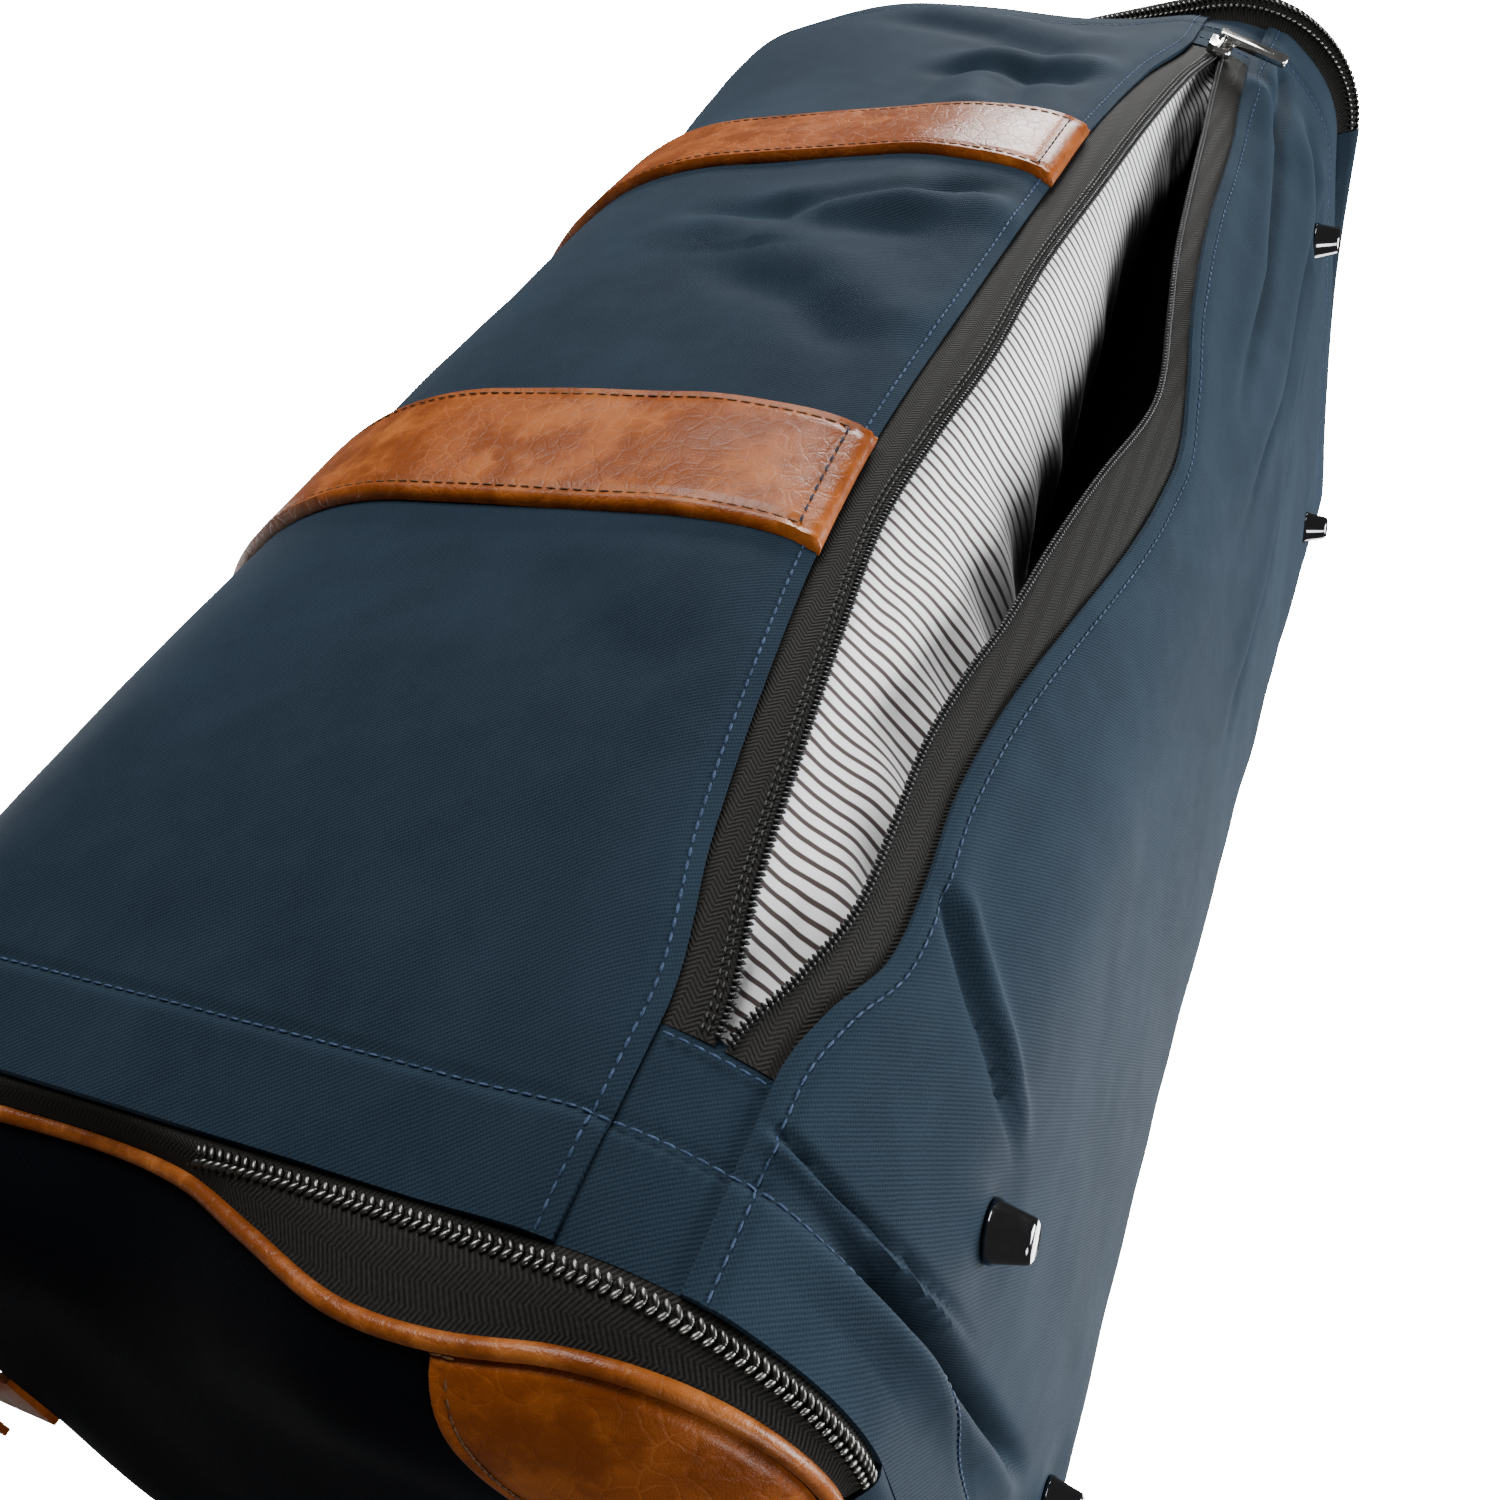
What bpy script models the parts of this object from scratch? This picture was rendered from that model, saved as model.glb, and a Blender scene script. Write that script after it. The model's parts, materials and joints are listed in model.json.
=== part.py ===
"""Convertible garment duffel: a soft bag that unrolls flat for suits and zips up round two end panels.

Metres, +Z up, the bag standing on its four feet. X runs along the bag, -Y is the front, the
origin is at the bottom centre, level with the tips of the feet.
"""

import math

import bmesh
import bpy
from mathutils import Matrix, Vector

# Body: the cloth between the two end seams. The cross-section is a rounded rectangle that
# bulges at mid length.
BODY_LENGTH = 0.538
END_WIDTH = 0.260
BODY_HEIGHT = 0.267
END_CORNER_RADIUS = 0.0475
BULGE = 0.036  # how far front and back stand out at mid length, each side
MID_CORNER_RADIUS = 0.111
WALL = 0.004
GAP = 0.0003  # between touching pieces
SEAM_GAP = 0.0008  # between cloth panels, whose sewn edges twist along the bag
LAYER_GAP = 0.0008  # under a piece that lies on a curved panel
CLOTH_ROW = 0.022  # longest facet round the girth
POCKET_COLUMNS = 12  # facets along the pocket's mouth, which every long piece shares

# Feet and the board they are riveted to
FOOT_HEIGHT = 0.0095
FOOT_BASE_RADIUS = 0.0064
FOOT_TIP_RADIUS = 0.0042
FOOT_X = 0.214
FOOT_Y = 0.065
STUD_RADIUS = 0.0015
STUD_CLEARANCE = 0.0005  # between a foot's stud and its hole
BOARD_THICKNESS = 0.0025
BOARD_MARGIN = 0.010  # past the feet, along X and Y
BOARD_PADDING = 0.0030  # between the bottom panel and the board
WASHER_RADIUS = 0.0060
WASHER_THICKNESS = 0.0012

# Shoe pocket: its zipper runs along the front bottom edge
BOTTOM_SEAM = 0.135  # girth from the bottom centre line to the bottom panel's edge
POCKET_HALF_LENGTH = 0.229
TAPE_WIDTH = 0.0086
TAPE_THICKNESS = 0.0012
TAPE_DEPTH = 0.0008  # of the tape's face under the cloth's face
CHAIN_WIDTH = 0.0022
CHAIN_THICKNESS = 0.0022
SHUT_MOUTH = 0.0009  # between the two chains where they meet
LIP_RISE = 0.019  # the upper lip is pulled up this far at mid length
LIP_SAG = 0.032  # and the lower lip hangs down this far
LINING_DEPTH = 0.050
LINING_THICKNESS = 0.0012
LINING_INSET = 0.0055  # under the cloth's face, where the lining starts

# End closures: zipper band, piping and end panels
OUTER_TAPE_WIDTH = 0.0020
INNER_TAPE_WIDTH = 0.0090
END_BAND_DROP = 0.0060  # how far the band leans in over its length
END_CHAIN_WIDTH = 0.0048
END_CHAIN_THICKNESS = 0.0024
PIPING_RADIUS = 0.0018
END_PANEL_BULGE = 0.0150
PATCH_RADIUS = 0.0615
PATCH_THICKNESS = 0.0014
SILL_GIRTH = 0.083  # the end zippers stop here; a cloth sill joins bottom and end panel below

# Straps and handles
STRAP_X = 0.097
STRAP_WIDTH = 0.042
STRAP_THICKNESS = 0.0026
STRAP_END = 0.080  # from the top centre line, along the girth, to where the strap's handle starts
HANDLE_RADIUS = 0.0070
HANDLE_LIFT = 0.0125
HANDLE_RISE = 0.078  # from the strap's end to the crown
HANDLE_CORNER = 0.045
CROWN_GAP = 0.0030  # between the two handles' crowns

# Top opening
TOP_TAPE_WIDTH = 0.0105
TOP_CHAIN_WIDTH = 0.0048
TOP_ZIP_MARGIN = 0.0300  # from the slider's parked place to the end seam

# Sliders and pulls
SLIDER_LENGTH = 0.0105
SLIDER_WIDTH = 0.0088
SLIDER_HEIGHT = 0.0030
BAIL_HEIGHT = 0.0026
BAIL_RADIUS = 0.0007
PULL_LENGTH = 0.0260
PULL_WIDTH = 0.0046
PULL_THICKNESS = 0.0015
PULL_TAIL = 0.0022  # past the eye
SLIDER_CLEARANCE = 0.0010
POCKET_SLIDER_X = 0.222
END_SLIDER_Z = 0.080

# Shoulder strap anchors on the end panels
TAB_WIDTH = 0.024
TAB_THICKNESS = 0.0020
TAB_TOP = 0.270  # height of the ring's bar
TAB_FOOT = 0.248
TAB_FLAP = 0.010
RING_WIRE = 0.0016
RING_WIDTH = 0.030
RING_DROP = 0.024

# Inside: a cloth sleeve that holds the suits against the back, and the hook for their hangers
SLEEVE_LOW = 0.165
SLEEVE_HIGH = 0.420
SLEEVE_DEPTH = 0.0140
SLEEVE_THICKNESS = 0.0010
SLEEVE_HALF_LENGTH = 0.235
HOOK_WIRE = 0.0018
HOOK_RADIUS = 0.0130
HOOK_NECK = 0.0170

HALF_BODY = BODY_LENGTH / 2
END_BAND_LENGTH = 2 * GAP + OUTER_TAPE_WIDTH + END_CHAIN_WIDTH + INNER_TAPE_WIDTH
FLOOR_TO_CLOTH = FOOT_HEIGHT
UPPER_SEAM = BOTTOM_SEAM + 2 * (TAPE_WIDTH + CHAIN_WIDTH) + SHUT_MOUTH
RING_STEPS = (3, 6, 3, 6, 3)  # facets of each stretch of half the outline, bottom to top

COLOURS = {
    "navy_twill": ((0.024, 0.040, 0.062), 0.85, 0.0),
    "dark_cloth": ((0.006, 0.009, 0.016), 0.9, 0.0),
    "tan_leather": ((0.36, 0.13, 0.035), 0.45, 0.0),
    "zipper_tape": ((0.016, 0.014, 0.013), 0.8, 0.0),
    "zipper_chain": ((0.05, 0.05, 0.05), 0.35, 0.9),
    "striped_lining": ((0.80, 0.78, 0.77), 0.8, 0.0),
    "nickel": ((0.60, 0.59, 0.57), 0.2, 1.0),
    "dark_chrome": ((0.20, 0.20, 0.21), 0.1, 1.0),
    "board": ((0.02, 0.02, 0.02), 0.6, 0.0),
    "grey_lining": ((0.25, 0.25, 0.27), 0.85, 0.0),
}


def clear_scene():
    for old in list(bpy.data.objects):
        bpy.data.objects.remove(old, do_unlink=True)


def new_collection(name):
    collection = bpy.data.collections.new(name)
    bpy.context.scene.collection.children.link(collection)
    return collection


def material(name):
    found = bpy.data.materials.get(name)
    if found:
        return found
    colour, roughness, metallic = COLOURS[name]
    made = bpy.data.materials.new(name)
    made.use_nodes = True
    shader = made.node_tree.nodes["Principled BSDF"]
    shader.inputs["Base Color"].default_value = (*colour, 1.0)
    shader.inputs["Roughness"].default_value = roughness
    shader.inputs["Metallic"].default_value = metallic
    return made


def place(name, data, finish, location=(0, 0, 0), parent=None):
    """Links a new object; its location is given in world coordinates."""
    made = bpy.data.objects.new(name, data)
    data.materials.append(material(finish))
    bag.objects.link(made)
    made.location = location
    if parent:
        made.parent = parent
        made.matrix_parent_inverse = Matrix.Translation(-parent.location)
    return made


def from_bmesh(name, bm, finish, location=(0, 0, 0), parent=None, smooth_angle=35):
    mesh = bpy.data.meshes.new(name)
    bm.to_mesh(mesh)
    bm.free()
    mesh.shade_smooth()
    mesh.set_sharp_from_angle(angle=math.radians(smooth_angle))
    return place(name, mesh, finish, location, parent)


def pivot(name, location):
    """An empty on a joint's axis, that the moving piece hangs from."""
    made = bpy.data.objects.new(name, None)
    bag.objects.link(made)
    made.location = location
    return made


# ---- the body's surface -------------------------------------------------------------------


def fullness(x):
    """1 at mid length, 0 at the end seams."""
    return max(0.0, 1 - (x / HALF_BODY) ** 2)


def half_width(x):
    return END_WIDTH / 2 + BULGE * fullness(x)


def corner_radius(x):
    return END_CORNER_RADIUS + (MID_CORNER_RADIUS - END_CORNER_RADIUS) * fullness(x)


def stretches(x):
    """Lengths of half the outline's stretches: bottom flat, corner, side, corner, top flat."""
    radius = corner_radius(x)
    flat = half_width(x) - radius
    quarter = radius * math.pi / 2
    return flat, quarter, BODY_HEIGHT - 2 * radius, quarter, flat


def half_girth(x):
    return sum(stretches(x))


def outline(x, girth):
    """(y, z, normal y, normal z) on the cross-section at x. girth is measured from the bottom
    centre line, positive up the front and negative up the back."""
    whole = half_girth(x)
    if girth > whole:
        girth -= 2 * whole
    elif girth < -whole:
        girth += 2 * whole
    side = -1 if girth >= 0 else 1
    left = abs(girth)
    flat, quarter, straight, _, _ = stretches(x)
    radius = corner_radius(x)
    if left <= flat:
        y, z, ny, nz = left, 0.0, 0.0, -1.0
    elif left <= flat + quarter:
        angle = (left - flat) / radius
        ny, nz = math.sin(angle), -math.cos(angle)
        y, z = flat + radius * ny, radius + radius * nz
    elif left <= flat + quarter + straight:
        y, z, ny, nz = flat + radius, radius + left - flat - quarter, 1.0, 0.0
    elif left <= flat + 2 * quarter + straight:
        angle = (left - flat - quarter - straight) / radius
        ny, nz = math.cos(angle), math.sin(angle)
        y, z = flat + radius * ny, BODY_HEIGHT - radius + radius * nz
    else:
        y, z, ny, nz = whole - left, BODY_HEIGHT, 0.0, 1.0
    return side * y, z + FLOOR_TO_CLOTH, side * ny, nz


def skin(x, girth, lift=0.0):
    """A point on the body, lifted off its surface. Past the end seams the outline stays the same."""
    station = max(-HALF_BODY, min(HALF_BODY, x))
    y, z, ny, nz = outline(station, girth)
    return Vector((x, y + ny * lift, z + nz * lift))


def skin_frame(x, girth, lift=0.0):
    """Axes at a point on the body: along X, up the girth, and outwards."""
    _, _, ny, nz = outline(x, girth)
    out = Vector((0, ny, nz))
    along = Vector((1, 0, 0))
    frame = Matrix((along, out.cross(along), out)).transposed().to_4x4()
    return Matrix.Translation(skin(x, girth, lift)) @ frame


def corner_stations(x):
    """Girth of each facet edge of half the outline, from the bottom centre to the top centre."""
    stations = [0.0]
    for length, steps in zip(stretches(x), RING_STEPS):
        start = stations[-1]
        stations += [start + length * (i + 1) / steps for i in range(steps)]
    return stations


def lip_opening(x):
    """1 where the pocket's mouth is widest, 0 at its two ends and past them."""
    return max(0.0, 1 - (x / POCKET_HALF_LENGTH) ** 2)


def lower_lip(x):
    return BOTTOM_SEAM - LIP_SAG * lip_opening(x)


def upper_lip(x):
    return UPPER_SEAM + LIP_RISE * lip_opening(x)


def top_seam(x):
    return half_girth(x) - TOP_TAPE_WIDTH - TOP_CHAIN_WIDTH / 2 - GAP


def face_outwards(bm, centre):
    """Turns an open sheet so that its faces point away from the bag's long axis."""
    bm.normal_update()
    score = sum((f.calc_center_median() - centre(f)).dot(f.normal) * f.calc_area() for f in bm.faces)
    if score < 0:
        bmesh.ops.reverse_faces(bm, faces=bm.faces)


def from_axis(face):
    point = face.calc_center_median()
    return Vector((point.x, 0, FLOOR_TO_CLOTH + BODY_HEIGHT / 2))


def thicken(sheet, thickness):
    solid = sheet.modifiers.new("Solidify", "SOLIDIFY")
    solid.thickness = thickness
    solid.offset = -1
    return solid


def slab(columns, rows):
    """A unit slab: X and Y from 0 to 1, its outer face at Z 0 and its inner face at Z -1."""
    bm = bmesh.new()
    bmesh.ops.create_grid(bm, x_segments=columns, y_segments=rows, size=0.5)
    bmesh.ops.translate(bm, vec=(0.5, 0.5, 0), verts=bm.verts)
    grown = bmesh.ops.extrude_face_region(bm, geom=bm.faces[:])["geom"]
    inner = [item for item in grown if isinstance(item, bmesh.types.BMVert)]
    bmesh.ops.translate(bm, vec=(0, 0, -1), verts=inner)
    return bm


def turn_outwards(bm):
    """Makes the faces of a closed solid point out."""
    bmesh.ops.recalc_face_normals(bm, faces=bm.faces)
    if bm.calc_volume(signed=True) < 0:
        bmesh.ops.reverse_faces(bm, faces=bm.faces)


def spread(first, last, steps):
    return [first + (last - first) * i / steps for i in range(steps + 1)]


def mouth_stations():
    return spread(-POCKET_HALF_LENGTH, POCKET_HALF_LENGTH, POCKET_COLUMNS)


def tab_stations(side):
    return spread(side * POCKET_HALF_LENGTH, side * HALF_BODY, 2)


def body_stations():
    """Facet edges from end seam to end seam; the pocket's ends are among them."""
    return tab_stations(-1)[:0:-1] + mouth_stations() + tab_stations(1)[1:]


def sheet_on_skin(name, finish, stations, low, high, lift, thickness, rows):
    """A sheet that follows the body between two girth lines, each a function of x. stations are
    its facet edges along X, and lift is the height of its outer face over the body's surface."""
    columns = len(stations) - 1
    bm = slab(columns, rows)
    for vertex in bm.verts:
        along, across, depth = vertex.co
        x = stations[round(along * columns)]
        girth = low(x) + (high(x) - low(x)) * across
        vertex.co = skin(x, girth, lift + thickness * depth)
    turn_outwards(bm)
    return from_bmesh(name, bm, finish)


def level(girth):
    """A girth line that stays the same distance from the bottom centre."""
    return lambda x: girth


def cut(target, cutter):
    boolean = target.modifiers.new("Cut", "BOOLEAN")
    boolean.operation = "DIFFERENCE"
    boolean.object = cutter


def cutter_cylinder(name, radius, start, end):
    bm = bmesh.new()
    axis = Vector(end) - Vector(start)
    turn = axis.to_track_quat("Z", "Y").to_matrix().to_4x4()
    middle = Matrix.Translation((Vector(start) + Vector(end)) / 2)
    bmesh.ops.create_cone(
        bm, cap_ends=True, segments=20, radius1=radius, radius2=radius, depth=axis.length,
        matrix=middle @ turn,
    )
    mesh = bpy.data.meshes.new(name)
    bm.to_mesh(mesh)
    bm.free()
    made = bpy.data.objects.new(name, mesh)
    made.hide_render = True
    made.display_type = "WIRE"
    cutters.objects.link(made)
    return made


def tube(name, finish, points, radius, cyclic=False, parent=None, resolution=2):
    curve = bpy.data.curves.new(name, "CURVE")
    curve.dimensions = "3D"
    curve.bevel_depth = radius
    curve.bevel_resolution = resolution
    curve.use_fill_caps = not cyclic
    spline = curve.splines.new("POLY")
    spline.points.add(len(points) - 1)
    for target, point in zip(spline.points, points):
        target.co = (*point, 1)
    spline.use_cyclic_u = cyclic
    return place(name, curve, finish, parent=parent)


# ---- body panels --------------------------------------------------------------------------


def make_panels():
    stations = body_stations()
    rows = math.ceil((half_girth(0) - UPPER_SEAM) / CLOTH_ROW)
    front = sheet_on_skin(
        "front_panel", "navy_twill", stations, lambda x: upper_lip(x) + SEAM_GAP,
        lambda x: top_seam(x) - GAP, 0, WALL, rows,
    )
    back = sheet_on_skin(
        "back_panel", "navy_twill", stations, lambda x: GAP - top_seam(x),
        lambda x: -BOTTOM_SEAM - SEAM_GAP, 0, WALL, rows,
    )
    bottom = sheet_on_skin(
        "bottom_panel", "navy_twill", stations, level(-BOTTOM_SEAM),
        lambda x: lower_lip(x) - SEAM_GAP,
        0, WALL, math.ceil(2 * BOTTOM_SEAM / CLOTH_ROW),
    )
    return front, back, bottom


def make_pocket():
    """Zipper tapes, chains, end tabs and lining of the shoe pocket."""
    stations = mouth_stations()
    stations[0] += GAP
    stations[-1] -= GAP

    def strip(name, finish, low, high, lift, thickness):
        sheet_on_skin(name, finish, stations, low, high, lift, thickness, 1)

    strip(
        "pocket_upper_tape", "zipper_tape", lambda x: upper_lip(x) - TAPE_WIDTH,
        lambda x: upper_lip(x) - GAP, -TAPE_DEPTH, TAPE_THICKNESS,
    )
    strip(
        "pocket_lower_tape", "zipper_tape", lower_lip,
        lambda x: lower_lip(x) + TAPE_WIDTH - GAP, -TAPE_DEPTH, TAPE_THICKNESS,
    )
    strip(
        "pocket_upper_chain", "zipper_chain", lambda x: upper_lip(x) - TAPE_WIDTH - CHAIN_WIDTH,
        lambda x: upper_lip(x) - TAPE_WIDTH - GAP, 0, CHAIN_THICKNESS,
    )
    strip(
        "pocket_lower_chain", "zipper_chain", lambda x: lower_lip(x) + TAPE_WIDTH,
        lambda x: lower_lip(x) + TAPE_WIDTH + CHAIN_WIDTH - GAP, 0, CHAIN_THICKNESS,
    )
    for side, name in ((-1, "left"), (1, "right")):
        sheet_on_skin(
            f"pocket_tab_{name}", "navy_twill", tab_stations(side), level(BOTTOM_SEAM),
            level(UPPER_SEAM), 0, WALL, 3,
        )
    make_lining()


def make_lining():
    """A boat-shaped pouch: widest at the mouth, deepest at mid length, shallow at both ends."""
    bm = bmesh.new()
    bmesh.ops.create_grid(bm, x_segments=14, y_segments=7, size=0.5)
    reach = POCKET_HALF_LENGTH - 2 * TAPE_WIDTH
    for vertex in bm.verts:
        along, across = vertex.co.x * 2, vertex.co.y + 0.5
        x = reach * along
        start = lower_lip(x) + TAPE_WIDTH
        end = upper_lip(x) - TAPE_WIDTH
        hollow = (1 - abs(along) ** 4) * math.sin(math.pi * across) ** 0.6
        vertex.co = skin(x, start + (end - start) * across, -LINING_INSET - LINING_DEPTH * hollow)
    face_outwards(bm, from_axis)
    thicken(from_bmesh("pocket_lining", bm, "striped_lining"), LINING_THICKNESS)


def make_straps():
    """Four leather straps, from the pocket's seam up to where the handles start."""
    top = strap_top()
    rows = math.ceil((top - UPPER_SEAM) / CLOTH_ROW)
    for face, front in (("front", True), ("back", False)):
        for side, name in ((-1, "left"), (1, "right")):
            middle = side * STRAP_X
            stations = spread(middle - STRAP_WIDTH / 2, middle + STRAP_WIDTH / 2, 3)
            if front:
                low, high = (lambda x: upper_lip(x) + 2 * GAP), level(top)
            else:
                low, high = level(-top), level(-BOTTOM_SEAM - 2 * GAP)
            sheet_on_skin(
                f"{face}_strap_{name}", "tan_leather", stations, low, high,
                LAYER_GAP + STRAP_THICKNESS, STRAP_THICKNESS, rows,
            )


# ---- ends ---------------------------------------------------------------------------------


def band_lift(x):
    """The end band leans in as it leaves the end seam."""
    share = (abs(x) - HALF_BODY) / END_BAND_LENGTH
    return -END_BAND_DROP * max(0.0, share)


def end_girths():
    """Girth of every facet edge round the end's outline."""
    stations = corner_stations(HALF_BODY)
    return stations + [-g for g in stations[-2:0:-1]]


def zipper_girths():
    """The end zipper's way: from the front sill over the top to the back sill."""
    whole = half_girth(HALF_BODY)
    rising = [g for g in corner_stations(HALF_BODY) if g > SILL_GIRTH]
    return [SILL_GIRTH] + rising + [2 * whole - g for g in rising[-2::-1]] + [2 * whole - SILL_GIRTH]


def sill_girths():
    end = SILL_GIRTH - SEAM_GAP
    low = [g for g in corner_stations(HALF_BODY) if 0 < g < end]
    return [-end] + [-g for g in low[::-1]] + [0.0] + low + [end]


def strip_on_band(name, finish, girths, near, far, proud, thickness):
    """A strip round the bag's end between two distances past the end seam."""
    columns = len(girths) - 1
    bm = slab(columns, 1)
    for vertex in bm.verts:
        along, across, depth = vertex.co
        x = near + (far - near) * across
        lift = band_lift(x) + proud + thickness * depth
        vertex.co = skin(x, girths[round(along * columns)], lift)
    turn_outwards(bm)
    from_bmesh(name, bm, finish)


def chain_start():
    """Distance from mid length to the near edge of the end zipper's chain."""
    return HALF_BODY + GAP + OUTER_TAPE_WIDTH + GAP


def make_end(side, name):
    """Zipper band, piping, end panel, leather corners and shoulder strap anchor of one end."""
    start = HALF_BODY + GAP
    chain = chain_start()
    end = HALF_BODY + END_BAND_LENGTH
    inner = chain + END_CHAIN_WIDTH + GAP
    strips = (
        ("end_outer_tape", "zipper_tape", start, chain - GAP, -TAPE_DEPTH, TAPE_THICKNESS),
        ("end_chain", "zipper_chain", chain, chain + END_CHAIN_WIDTH, 0.0, END_CHAIN_THICKNESS),
        ("end_inner_tape", "zipper_tape", inner, end, -TAPE_DEPTH, TAPE_THICKNESS),
    )
    for node, finish, near, far, proud, thickness in strips:
        girths = zipper_girths()
        strip_on_band(f"{node}_{name}", finish, girths, side * near, side * far, proud, thickness)
    strip_on_band(
        f"end_sill_{name}", "navy_twill", sill_girths(), side * start, side * end, 0.0,
        TAPE_DEPTH + TAPE_THICKNESS,
    )
    make_piping(side, name)
    make_end_panel(side, name)
    for face, front in (("front", 1), ("back", -1)):
        make_patch(side, front, f"corner_patch_{face}_{name}")
    make_anchor(side, name)


def piping_x():
    return HALF_BODY + END_BAND_LENGTH + GAP + PIPING_RADIUS


def make_piping(side, name):
    drop = -END_BAND_DROP - TAPE_DEPTH - TAPE_THICKNESS / 2
    points = [skin(side * piping_x(), g, drop) for g in end_girths()]
    tube(f"end_piping_{name}", "tan_leather", points, PIPING_RADIUS, cyclic=True)


def panel_inset():
    """How far the end panel's edge lies inside the body's outline."""
    return END_BAND_DROP + TAPE_DEPTH + TAPE_THICKNESS / 2 + PIPING_RADIUS + 2 * GAP


def end_face_x(y, z):
    """Distance from mid length to the end panel's outer face, which bulges at its middle."""
    across = y / (END_WIDTH / 2)
    up = (z - FLOOR_TO_CLOTH - BODY_HEIGHT / 2) / (BODY_HEIGHT / 2)
    full = max(0.0, 1 - across * across) * max(0.0, 1 - up * up)
    return piping_x() + END_PANEL_BULGE * full


def make_end_panel(side, name):
    """A disc of rings that follow the outline, spun about the bag's long axis."""
    girths = end_girths()
    rings = 3
    bm = bmesh.new()
    line = [bm.verts.new((0, 0, -(i + 1) / rings)) for i in range(rings)]
    for first, second in zip(line, line[1:]):
        bm.edges.new((first, second))
    bmesh.ops.spin(
        bm, geom=bm.verts[:] + bm.edges[:], cent=(0, 0, 0), axis=(1, 0, 0),
        angle=-2 * math.pi, steps=len(girths), use_merge=True,
    )
    inner = [v for v in bm.verts if v.co.length < 1.5 / rings]
    rim = [e for e in bm.edges if e.is_boundary and all(v in inner for v in e.verts)]
    hub = bmesh.ops.contextual_create(bm, geom=rim)["faces"]
    bmesh.ops.poke(bm, faces=hub)
    middle_z = FLOOR_TO_CLOTH + BODY_HEIGHT / 2
    turn = 2 * math.pi / len(girths)
    for vertex in bm.verts:
        reach = vertex.co.length
        if reach < 0.5 / rings:
            y, z = 0.0, middle_z
        else:
            index = round(math.atan2(-vertex.co.y, -vertex.co.z) / turn) % len(girths)
            edge = skin(HALF_BODY, girths[index], -panel_inset())
            y = edge.y * reach
            z = middle_z + (edge.z - middle_z) * reach
        vertex.co = (side * end_face_x(y, z), y, z)
    face_outwards(bm, lambda face: Vector((0, 0, middle_z)))
    thicken(from_bmesh(f"end_panel_{name}", bm, "dark_cloth"), WALL)


def make_patch(side, front, name):
    """A quarter-round leather patch between the outline's corner and an arc about that corner."""
    bm = bmesh.new()
    bmesh.ops.create_grid(bm, x_segments=10, y_segments=3, size=0.5)
    inset = panel_inset() + 2 * GAP
    corner = (END_WIDTH / 2 - inset, FLOOR_TO_CLOTH + inset)
    flat, quarter, _, _, _ = stretches(HALF_BODY)
    square = END_CORNER_RADIUS - inset
    low = flat - (PATCH_RADIUS - square)
    high = flat + quarter + (PATCH_RADIUS - square)
    for vertex in bm.verts:
        along, across = vertex.co.x + 0.5, vertex.co.y + 0.5
        edge = skin(HALF_BODY, low + (high - low) * along, -inset)
        angle = math.pi / 2 * along
        inner_y = corner[0] - PATCH_RADIUS * math.cos(angle)
        inner_z = corner[1] + PATCH_RADIUS * math.sin(angle)
        y = abs(edge.y) + (inner_y - abs(edge.y)) * across
        z = edge.z + (inner_z - edge.z) * across
        x = end_face_x(y, z) + LAYER_GAP + PATCH_THICKNESS
        vertex.co = (side * x, -front * y, z)
    face_outwards(bm, lambda face: Vector((0, 0, face.calc_center_median().z)))
    made = from_bmesh(name, bm, "tan_leather")
    thicken(made, PATCH_THICKNESS)


def make_anchor(side, name):
    """A leather tab folded over the bar of a D-ring, sewn to the end panel below it."""
    bar_radius = RING_WIRE + LAYER_GAP
    back_x = end_face_x(0, TAB_FOOT) + LAYER_GAP + TAB_THICKNESS
    bar_x = back_x + bar_radius
    steps = 8
    turns = [math.pi * i / steps for i in range(steps + 1)]
    path = [(back_x, TAB_FOOT)]
    path += [(bar_x - bar_radius * math.cos(a), TAB_TOP + bar_radius * math.sin(a)) for a in turns]
    path += [(bar_x + bar_radius, TAB_TOP - TAB_FLAP)]
    bm = bmesh.new()
    bmesh.ops.create_grid(bm, x_segments=len(path) - 1, y_segments=2, size=0.5)
    for vertex in bm.verts:
        x, z = path[round((vertex.co.x + 0.5) * (len(path) - 1))]
        vertex.co = (side * x, vertex.co.y * TAB_WIDTH, z)
    bm.normal_update()
    first = min(bm.faces, key=lambda f: abs(f.calc_center_median().x))
    if first.normal.x * side > 0:
        bmesh.ops.reverse_faces(bm, faces=bm.faces)
    solid = thicken(from_bmesh(f"anchor_tab_{name}", bm, "tan_leather"), TAB_THICKNESS)
    solid.offset = 1
    make_ring(side, name, bar_x)


def make_ring(side, name, bar_x):
    """The D-ring, turned up: a straight bar through the tab, closed by a half ellipse above it."""
    hinge = pivot(f"d_ring_pivot_{name}", (side * bar_x, 0, TAB_TOP))
    steps = 14
    half = RING_WIDTH / 2
    shoulder = RING_DROP / 6
    points = [(side * bar_x, -half, TAB_TOP), (side * bar_x, half, TAB_TOP)]
    points += [
        (
            side * bar_x,
            half * math.cos(math.pi * i / steps),
            TAB_TOP + shoulder + (RING_DROP - shoulder) * math.sin(math.pi * i / steps),
        )
        for i in range(steps + 1)
    ]
    tube(f"d_ring_{name}", "nickel", points, RING_WIRE, cyclic=True, parent=hinge)


# ---- top opening --------------------------------------------------------------------------


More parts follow.
